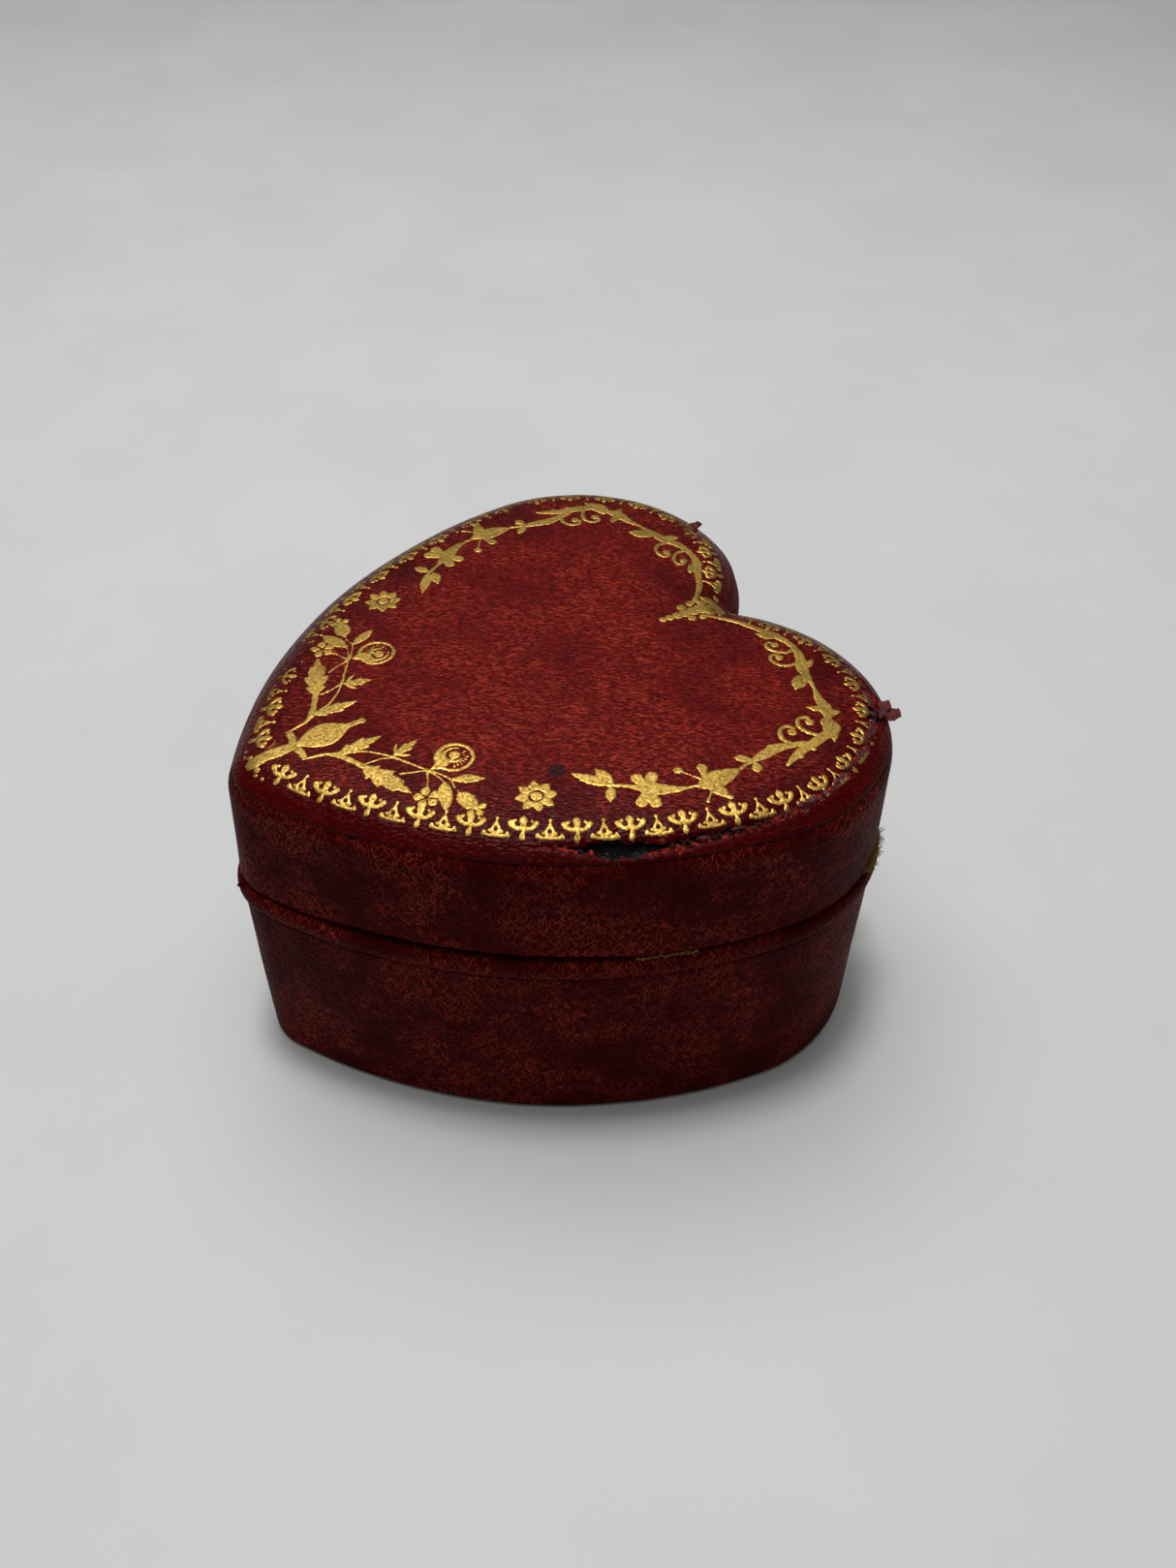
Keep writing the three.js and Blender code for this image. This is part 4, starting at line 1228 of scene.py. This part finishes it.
def roll_tree():
    """Repeats a motif along X, then bends the strip to run along a path's inner side."""
    tree, given, result = new_tree("gilt_roll", {
        "Motif": ("NodeSocketObject", None),
        "Path": ("NodeSocketObject", None),
        "Pairs": ("NodeSocketInt", 10),
        "Pitch": ("NodeSocketFloat", FRIEZE_PITCH * MM),
        "Start": ("NodeSocketFloat", FRIEZE_START * MM),
        "Shoulder width": ("NodeSocketFloat", SHOULDER_WIDTH * MM),
        "Start angle": ("NodeSocketFloat", FRIEZE_ANGLE),
        "Girth radius": ("NodeSocketFloat", 5 * MM),
        "Material": ("NodeSocketMaterial", None),
    })
    pitch = add(tree, "ShaderNodeCombineXYZ", {"X": given["Pitch"]}).outputs[0]
    start = add(tree, "ShaderNodeCombineXYZ", {"X": given["Start"]}).outputs[0]
    row = add(tree, "GeometryNodeMeshLine", {
        "Count": given["Pairs"], "Start Location": start, "Offset": pitch,
    })
    motif = add(tree, "GeometryNodeObjectInfo", {"Object": given["Motif"]})
    placed = add(tree, "GeometryNodeInstanceOnPoints", {
        "Points": row.outputs[0], "Instance": motif.outputs["Geometry"],
    })
    strip = add(tree, "GeometryNodeRealizeInstances", {"Geometry": placed.outputs[0]})
    flat = add(tree, "ShaderNodeSeparateXYZ", {
        "Vector": add(tree, "GeometryNodeInputPosition").outputs[0],
    })
    path = add(tree, "GeometryNodeObjectInfo", {"Object": given["Path"]})
    at = add(tree, "GeometryNodeSampleCurve", {
        "Curves": path.outputs["Geometry"], "Length": flat.outputs["X"],
    }, mode="LENGTH", use_all_curves=True)
    inward = add(tree, "ShaderNodeVectorMath", {0: (0, 0, 1), 1: at.outputs["Tangent"]},
                 operation="CROSS_PRODUCT").outputs[0]
    angle = sums(tree, "ADD", given["Start angle"],
                 sums(tree, "DIVIDE", flat.outputs["Y"], given["Girth radius"]))
    depth = sums(tree, "MULTIPLY", given["Shoulder width"],
                 sums(tree, "SUBTRACT", 1.0, sums(tree, "COSINE", angle)))
    shift = add(tree, "ShaderNodeVectorMath", {0: inward, "Scale": depth}, operation="SCALE")
    lift = add(tree, "ShaderNodeCombineXYZ", {"Z": flat.outputs["Z"]}).outputs[0]
    where = add(tree, "ShaderNodeVectorMath", {0: at.outputs["Position"], 1: shift.outputs[0]},
                operation="ADD").outputs[0]
    where = add(tree, "ShaderNodeVectorMath", {0: where, 1: lift}, operation="ADD").outputs[0]
    bent = add(tree, "GeometryNodeSetPosition", {"Geometry": strip.outputs[0], "Position": where})
    done = add(tree, "GeometryNodeRealizeInstances", {"Geometry": bent.outputs[0]})
    gilded = add(tree, "GeometryNodeSetMaterial", {
        "Geometry": done.outputs[0], "Material": given["Material"],
    })
    tree.links.new(gilded.outputs[0], result)
    return tree


def path_object(name, points):
    """A poly curve through points in mm, used as a guide and then removed."""
    curve = bpy.data.curves.new(name, "CURVE")
    curve.dimensions = "3D"
    spline = curve.splines.new("POLY")
    spline.points.add(len(points) - 1)
    for knot, point in zip(spline.points, points):
        knot.co = (*(np.array(point) * MM), 1)
    guide = bpy.data.objects.new(name, curve)
    bpy.context.scene.collection.objects.link(guide)
    return guide


def gilt_roll():
    """The narrow roll of palmettes and pyramids round the shoulder, both halves."""
    motif = build_mesh("motif", *roll_motif().surface(), gilt)
    path = path_object("edge", np.column_stack([half_outline(-1e-6), np.zeros(len(half_outline(0)))]))
    strip = grow("gilt_roll", roll_tree(), {
        "Motif": motif, "Path": path, "Pairs": FRIEZE_PAIRS, "Material": gilt,
    })
    mesh = strip.data
    points = np.zeros(len(mesh.vertices) * 3)
    mesh.vertices.foreach_get("co", points)
    points = points.reshape(-1, 3) / MM
    faces = [list(p.vertices) for p in mesh.polygons]
    for helper in (strip, motif, path):
        bpy.data.objects.remove(helper)
    right = lay_on_lid(points)
    left = right * [-1, 1, 1]
    flipped = [[v + len(right) for v in reversed(face)] for face in faces]
    both = np.vstack([right, left])
    return build_mesh("gilt_roll", both, faces + flipped, gilt, {"rub": rub(both)})


def fray_tree():
    """Short bent fibres standing at random angles along a path."""
    tree, given, result = new_tree("fray", {
        "Path": ("NodeSocketObject", None),
        "Count": ("NodeSocketInt", 60),
        "Length": ("NodeSocketFloat", 1.0 * MM),
        "Thickness": ("NodeSocketFloat", 0.035 * MM),
        "Seed": ("NodeSocketInt", 1),
        "Material": ("NodeSocketMaterial", None),
    })
    path = add(tree, "GeometryNodeObjectInfo", {"Object": given["Path"]})
    roots = add(tree, "GeometryNodeCurveToPoints", {
        "Curve": path.outputs["Geometry"], "Count": given["Count"],
    }, mode="COUNT")
    fibre = add(tree, "GeometryNodeCurveQuadraticBezier", {
        "Resolution": 6, "Start": (0, 0, 0), "Middle": (0.4, 0.1, 0.5), "End": (0.1, 0.5, 1),
    })
    size = add(tree, "ShaderNodeCombineXYZ", {
        "X": given["Length"], "Y": given["Length"], "Z": given["Length"],
    })
    sized = add(tree, "GeometryNodeTransform", {"Geometry": fibre.outputs[0], "Scale": size.outputs[0]})
    section = add(tree, "GeometryNodeCurvePrimitiveCircle", {
        "Resolution": 5, "Radius": given["Thickness"],
    })
    strand = add(tree, "GeometryNodeCurveToMesh", {
        "Curve": sized.outputs[0], "Profile Curve": section.outputs[0], "Fill Caps": True,
    })
    turned = add(tree, "FunctionNodeRandomValue", {
        0: (0, 0, 0), 1: (2 * HALF_TURN, 2 * HALF_TURN, 2 * HALF_TURN), "Seed": given["Seed"],
    }, data_type="FLOAT_VECTOR")
    grown = add(tree, "FunctionNodeRandomValue", {2: 0.4, 3: 1.2, "Seed": given["Seed"]},
                data_type="FLOAT")
    stood = add(tree, "GeometryNodeInstanceOnPoints", {
        "Points": roots.outputs[0], "Instance": strand.outputs[0],
        "Rotation": turned.outputs[0], "Scale": grown.outputs[1],
    })
    done = add(tree, "GeometryNodeRealizeInstances", {"Geometry": stood.outputs[0]})
    coloured = add(tree, "GeometryNodeSetMaterial", {
        "Geometry": done.outputs[0], "Material": given["Material"],
    })
    tree.links.new(coloured.outputs[0], result)
    return tree


def on_outline(along):
    """Point, outward direction and forward direction on the lid's outline."""
    half = len(half_outline(0))
    points = half_outline(-1e-6)
    reached = ALONG[:half]
    here = np.array([np.interp(abs(along), reached, points[:, axis]) for axis in (0, 1)])
    ahead = np.array([np.interp(abs(along) + 0.2, reached, points[:, axis]) for axis in (0, 1)])
    forward = (ahead - here) / np.linalg.norm(ahead - here)
    outward = np.array([forward[1], -forward[0]])
    mirror = np.array([1 if along >= 0 else -1, 1])
    return here * mirror, outward * mirror, forward * mirror


def shoulder_at(along, angle, lift=0.0):
    """A 3-D point on the lid's shoulder."""
    here, outward, _ = on_outline(along)
    offset, _ = shoulder_point(angle)
    x, y = here + outward * offset
    return np.array([x, y, float(top_height(x, y)) + lift])


def frayed(name, points, count, length, seed, material):
    """Fibres grown along a line of points."""
    path = path_object("fray_path", points)
    piece = grow(name, fray, {
        "Path": path, "Count": count, "Length": length * MM, "Seed": seed, "Material": material,
    })
    bpy.data.objects.remove(path)
    return piece


def seam_fray(name, start, end, count, length):
    """Golden lining threads that stick out of the seam on the right, between two distances."""
    points = []
    for along in np.linspace(start, end, 24):
        here, outward, _ = on_outline(along)
        x, y = here + outward * (0.05 + 0.2 * jagged(along, 5.0))
        points.append((x, y, SEAM_Z - 0.05 + 0.3 * jagged(along * 1.7, 1.0)))
    return frayed(name, points, count, length, 3, thread)


def tear_fray():
    """Red fibres standing up along the torn edge of the top skin."""
    points = [
        shoulder_at(along, float(np.interp(along, TEAR_ALONG, TEAR_ANGLE)) + 0.06 * jagged(along, 3.0))
        for along in np.linspace(53, 101, 170)
    ]
    return frayed("tear_fray", points, 520, 0.42, 7, raw_fibre)


def scrap(spine, widths, thickness, across):
    """A narrow scrap of leather that follows a spine: a flat rounded strip, closed at both ends."""
    line = smooth(np.array(spine, float), 5)
    width = np.interp(np.linspace(0, 1, len(line)), np.linspace(0, 1, len(widths)), widths)
    side = np.array(across, float) / np.linalg.norm(across)
    points, count = [], 10
    for i, (here, half) in enumerate(zip(line, width)):
        ahead = line[min(i + 1, len(line) - 1)] - line[max(i - 1, 0)]
        normal = np.cross(ahead / np.linalg.norm(ahead), side)
        ragged = half * (1 + 0.3 * jagged(i * 0.9, half * 7))
        for turn in range(count):
            angle = 2 * HALF_TURN * turn / count
            points.append(here + side * ragged * math.cos(angle)
                          + normal * thickness * 0.5 * math.sin(angle))
    faces = loft_faces(len(line), count)
    points += [line[0], line[-1]]
    last = (len(line) - 1) * count
    faces += [((i + 1) % count, i, len(points) - 2) for i in range(count)]
    faces += [(last + i, last + (i + 1) % count, len(points) - 1) for i in range(count)]
    return points, faces


# Scraps of torn skin: mm from the tip, angle on the shoulder, reach, rise, half width
SCRAPS = [
    (94.0, 0.7, 2.2, -0.15, 1.3), (95.0, 0.8, 1.5, 0.1, 1.1), (93.0, 0.9, 0.9, 0.35, 0.8),
    (-101.5, 0.85, 0.9, 0.7, 0.9), (61, 0.95, 0.3, 0.35, 0.6), (70, 1.12, 0.25, 0.3, 0.5),
    (87, 1.2, 0.5, 0.5, 0.6), (80, 1.25, 0.25, 0.3, 0.4), (57, 0.9, 0.35, 0.2, 0.7),
]


def torn_scraps():
    """Curled scraps of skin at the back of both lobes and along the tear, as one piece."""
    points, faces = [], []
    for along, angle, reach, rise, width in SCRAPS:
        root = shoulder_at(along, angle, -0.15)
        _, outward, forward = on_outline(along)
        out = np.array([*outward, 0.0])
        ahead = np.array([*forward, 0.0])
        up = np.array([0, 0, 1.0])
        spine = [
            root, root + out * reach * 0.4 + up * rise * 0.25,
            root + out * reach * 0.8 + up * rise * 0.5 + ahead * 0.2,
            root + out * reach + up * rise + ahead * 0.45,
        ]
        more, sides = scrap(spine, [width, width * 0.85, width * 0.6], 0.4, ahead)
        faces += [[v + len(points) for v in side] for side in sides]
        points += more
    return build_mesh("torn_scraps", points, faces, raw_fibre)


def tip_scrap():
    """A pinched corner of skin that stands out of the bead at the point of the heart."""
    low = np.array([0.0, LOBE_Y - TIP_REACH, BEAD_TOP - 0.6])
    spine = [low + [0, 0.5, -0.7], low + [0.05, -0.2, 0.0], low + [0.1, -0.75, 0.5]]
    return build_mesh("tip_scrap", *scrap(spine, [0.8, 0.5, 0.12], 0.5, (1, 0, 0)), side_leather)


# Silk from the lining, frayed at the seam: gold thread gone brown in places
thread = fibrous("golden_hinge_threads", "#6a4a14", "#a98433", (3, 3, 3), 0.9)
# The torn thickness of dyed skin: matt fibre, darker where it has been handled
raw_fibre = fibrous("raw_red_leather_fibre", "#240605", "#641810", (2, 2, 2), 0.9)
fray = fray_tree()
for piece, body, finish in (
    (seam_fray("seam_fray_back", start=82.5, end=90, count=420, length=0.85), "base", "velvet"),
    (seam_fray("seam_fray_side", start=50, end=57, count=150, length=0.32), "base", "velvet"),
    (tip_scrap(), "base", "red_leather"),
    (tear_fray(), "lid", "red_leather"),
    (torn_scraps(), "lid", "red_leather"),
):
    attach(piece, body)

for piece in (gilt_panel(), gilt_roll()):
    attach(piece, "lid")

# ---- Inside -------------------------------------------------------------------------


def collar_cover():
    """Velvet over the card collar: up its outside, round its top and down inside."""
    rounding = 0.9
    outer = [(COLLAR_OUTER, BEAD_TOP - 0.5), (COLLAR_OUTER, COLLAR_TOP - rounding)]
    middle = (COLLAR_OUTER + COLLAR_INNER) / 2
    half = (COLLAR_OUTER - COLLAR_INNER) / 2
    over = [
        (middle + half * math.cos(t), COLLAR_TOP - rounding + rounding * math.sin(t))
        for t in np.linspace(0, HALF_TURN, 12)
    ]
    floor = low_mm("base_velvet_pad").z - 0.2
    profile = resample(outer + over + [(COLLAR_INNER, floor)], 0.8)
    return ring_piece("collar_velvet_cover", profile, velvet, wave=0.05)


def lid_lining():
    """Satin glued round the inside of the lid's wall, with faint upright puckers."""
    low = low_mm("lid_wall_lining").z
    high = high_mm("lid_wall_lining").z
    outer = high_mm("lid_wall_lining").x - LOBE_X - LOBE_RADIUS
    thickness = 0.6
    inner = outer - thickness
    profile = resample([(outer, high), (outer, low + 0.25), (outer - 0.3, low), (inner, low + 0.25),
                        (inner, high)], 0.6)

    def pucker(loops):
        push_out(loops, 0.07 * np.sin(ALONG * 2.1 + np.sin(ALONG * 0.7))[None, :]
                 * np.ones(len(loops))[:, None])

    return ring_piece("lid_satin_wall", profile, satin, wave=0.04, closed=True, extra=pucker)


def pad_block(name, edge, flat_z, crown_z, material):
    """A plain block with rounded edges that a pad is puffed up from."""
    up = 1 if crown_z > flat_z else -1
    thick = abs(crown_z - flat_z)
    profile = [
        (edge, flat_z), (edge, flat_z + up * thick * 0.55),
        (edge - 0.8, flat_z + up * thick * 0.85), (edge - 2.4, crown_z),
    ]
    loops = [np.column_stack([outline(o), np.full(len(ALONG), z)]) for o, z in profile]
    last = loops[-1]
    middle = np.array([*HEART_MIDDLE, crown_z])
    for scale in (0.8, 0.6, 0.4, 0.2):
        loops.append(middle + (last - middle) * scale)
    loops = np.array(loops)[:, ::4]
    count = loops.shape[1]
    points = np.vstack([loops.reshape(-1, 3), [middle], [[*HEART_MIDDLE, flat_z]]])
    faces = loft_faces(len(loops), count)
    start = (len(loops) - 1) * count
    faces += [(start + i, start + (i + 1) % count, len(points) - 2) for i in range(count)]
    faces += [((i + 1) % count, i, len(points) - 1) for i in range(count)]
    if up < 0:
        faces = [face[::-1] for face in faces]
    return build_mesh(name, points, faces, material)


SIM_SCALE = 10   # a small pad is simulated ten times larger, where cloth behaves as tuned
VOXEL = 1.3
SIM_FRAMES = 18


def apply_modifiers(piece):
    """Replaces a piece's mesh by what its modifiers make of it."""
    graph = bpy.context.evaluated_depsgraph_get()
    done = bpy.data.meshes.new_from_object(piece.evaluated_get(graph), depsgraph=graph)
    materials = list(piece.data.materials)
    piece.modifiers.clear()
    piece.data = done
    if not done.materials:
        for material in materials:
            done.materials.append(material)


def puff_up(piece, flat_z, pressure, cap):
    """Blows a pad up as cloth with its flat side held, moving no point more than cap mm."""
    piece.data.transform(Matrix.Scale(SIM_SCALE, 4))
    remesh = piece.modifiers.new("remesh", "REMESH")
    remesh.mode = "VOXEL"
    remesh.voxel_size = VOXEL * MM * SIM_SCALE
    apply_modifiers(piece)
    rest = np.array([v.co for v in piece.data.vertices])
    held = piece.vertex_groups.new(name="held")
    on_flat = np.abs(rest[:, 2] - flat_z * MM * SIM_SCALE) < 0.3 * MM * SIM_SCALE
    held.add([int(i) for i in np.nonzero(on_flat)[0]], 1.0, "REPLACE")
    cloth = piece.modifiers.new("cloth", "CLOTH")
    cloth.settings.use_pressure = True
    cloth.settings.uniform_pressure_force = pressure
    cloth.settings.vertex_group_mass = "held"
    cloth.settings.effector_weights.gravity = 0
    cloth.settings.quality = 5
    for step in range(1, SIM_FRAMES + 1):
        bpy.context.scene.frame_set(step)
    apply_modifiers(piece)
    bpy.context.scene.frame_set(1)
    moved = np.array([v.co for v in piece.data.vertices])
    travel = moved - rest
    length = np.linalg.norm(travel, axis=1)
    limit = cap * MM * SIM_SCALE
    scale = np.minimum(1, limit / np.maximum(length, 1e-9))
    piece.data.vertices.foreach_set("co", (rest + travel * scale[:, None]).ravel())
    piece.data.transform(Matrix.Scale(1 / SIM_SCALE, 4))
    finer = piece.modifiers.new("finer", "SUBSURF")
    finer.levels = finer.render_levels = 1
    apply_modifiers(piece)
    piece.data.shade_smooth()


def velvet_pad():
    """The velvet bed for the jewel, with a slit along the middle that holds a ring or pin."""
    low, high = low_mm("base_velvet_pad").z, high_mm("base_velvet_pad").z
    piece = pad_block("jewel_velvet_pad", PAD_EDGE - 0.4, low, high - 0.7, velvet)
    puff_up(piece, low, 5.0, 0.7)
    points = np.array([v.co for v in piece.data.vertices]) / MM
    slit_y, slit_half = LOBE_Y - 8, 15
    slit_depth, slit_width = 2.6, 0.75
    dip_depth, dip_width = 0.6, 3.2
    beyond = np.clip(np.abs(points[:, 0]) - slit_half, 0, None)
    away = np.hypot(points[:, 1] - slit_y, beyond)
    upper = np.clip((points[:, 2] - low - 3) / 2, 0, 1)
    slit = slit_depth * np.exp(-((away / slit_width) ** 2))
    dip = dip_depth * np.exp(-((away / dip_width) ** 2))
    points[:, 2] -= (slit + dip) * upper
    piece.data.vertices.foreach_set("co", (points * MM).ravel())
    return piece


def satin_pad():
    """The lid's padded satin, gathered into small pleats round its edge."""
    high, low = high_mm("lid_satin_pad").z, low_mm("lid_satin_pad").z
    piece = pad_block("lid_satin_cushion", SATIN_EDGE - 0.3, high, low + 0.7, satin)
    puff_up(piece, high, 4.0, 0.6)
    points = np.array([v.co for v in piece.data.vertices]) / MM
    depth = inset(points[:, 0], points[:, 1]) + SATIN_EDGE
    around = nearest_along(points[:, 0], points[:, 1])
    reach = np.exp(-np.clip(depth, 0, None) / 4.5)
    lower = np.clip((high - points[:, 2] - 0.8) / 1.5, 0, 1)
    pleats = np.sin(around * 2.2 + 1.5 * np.sin(around * 0.37)) * 0.5
    points[:, 2] += (0.3 - 0.75 * pleats) * reach * lower
    piece.data.vertices.foreach_set("co", (points * MM).ravel())
    return piece


dress(collar_cover(), "base", "velvet", "base_collar_velvet", "base_collar")
dress(lid_lining(), "lid", "satin", "lid_wall_lining")
dress(velvet_pad(), "base", "velvet", "base_velvet_pad")
dress(satin_pad(), "lid", "satin", "lid_satin_pad")

# ---- Frame parts that stay, with their finishes ---------------------------------------

KEPT = {
    "base_sole": sole_paper,
    "base_floor_board": lime_wood,
    "base_wall_core": lime_wood,
    "base_wadding": wadding,
    "base_pad_board": card,
    "lid_wall_core": lime_wood,
    "lid_top_board": lime_wood,
    "lid_lining_board": card,
}
for node, part in frame["nodes"].items():
    finish = KEPT.get(node, brass if node.startswith(("hinge", "nail")) else None)
    if finish:
        part.data.materials.clear()
        part.data.materials.append(finish)

# ---- Camera, light and floor ----------------------------------------------------------


def make_camera():
    """A phone-like camera, 60 degrees round from the tip and 42 above the table."""
    azimuth, elevation, roll = math.radians(59.9), math.radians(42.35), math.radians(0.98)
    distance, target = 194.97, Vector((0, LOBE_Y - 7.57, 23.92))
    back = Vector((
        math.sin(azimuth) * math.cos(elevation),
        -math.cos(azimuth) * math.cos(elevation),
        math.sin(elevation),
    ))
    level = Vector((math.cos(azimuth), math.sin(azimuth), 0))
    upright = back.cross(level)
    right = level * math.cos(roll) + upright * math.sin(roll)
    up = upright * math.cos(roll) - level * math.sin(roll)
    data = bpy.data.cameras.new("camera")
    data.sensor_width = 36
    data.lens = 33.35
    data.clip_start = 0.005
    camera = bpy.data.objects.new("camera", data)
    turn = Matrix((right, up, back)).transposed()
    camera.matrix_world = Matrix.Translation((target + back * distance) * MM) @ turn.to_4x4()
    bpy.context.scene.collection.objects.link(camera)
    bpy.context.scene.camera = camera


def make_floor():
    """A table of pale laminate: pressed sheet, faintly mottled and half matt."""
    material, tree, shader, place = new_material("pale_laminate_table")
    flecks = add(tree, "ShaderNodeTexNoise", {
        "Vector": millimetres(tree, place), "Scale": 0.02, "Detail": 6.0, "Roughness": 0.6,
    }).outputs["Fac"]
    tree.links.new(ramp(tree, flecks, [(0.3, "#c6c8c7"), (0.7, "#cccdcc")]), shader.inputs["Base Color"])
    tree.links.new(between(tree, flecks, 0.3, 0.7, 0.5, 0.6), shader.inputs["Roughness"])
    shader.inputs["Specular IOR Level"].default_value = 0.2
    mesh = bpy.data.meshes.new("floor")
    half = 3.0
    mesh.from_pydata([(-half, -half, 0), (half, -half, 0), (half, half, 0), (-half, half, 0)], [],
                     [(0, 1, 2, 3)])
    mesh.materials.append(material)
    floor = bpy.data.objects.new("floor", mesh)
    bpy.context.scene.collection.objects.link(floor)


def soft_light(name, place, size, power, target=(0, 0, 0.03)):
    """A round area light aimed at the case, in metres and watts."""
    data = bpy.data.lights.new(name, "AREA")
    data.shape = "DISK"
    data.size = size
    data.energy = power
    light = bpy.data.objects.new(name, data)
    light.location = place
    aim = Vector(target) - Vector(place)
    light.rotation_euler = aim.to_track_quat("-Z", "Y").to_euler()
    bpy.context.scene.collection.objects.link(light)


def make_light():
    """A pale room, a wide ceiling and one lamp in it."""
    world = bpy.data.worlds.new("room")
    world.use_nodes = True
    background = world.node_tree.nodes["Background"]
    background.inputs[0].default_value = colour("#e3e4e2")
    background.inputs[1].default_value = 0.21
    bpy.context.scene.world = world
    soft_light("ceiling", (-0.16, -0.01, 0.72), size=0.7, power=3.6)
    soft_light("ceiling_lamp", (-0.03, -0.01, 0.8), size=0.12, power=2.2)


make_camera()
make_floor()
make_light()
bpy.context.scene.view_settings.view_transform = "Standard"
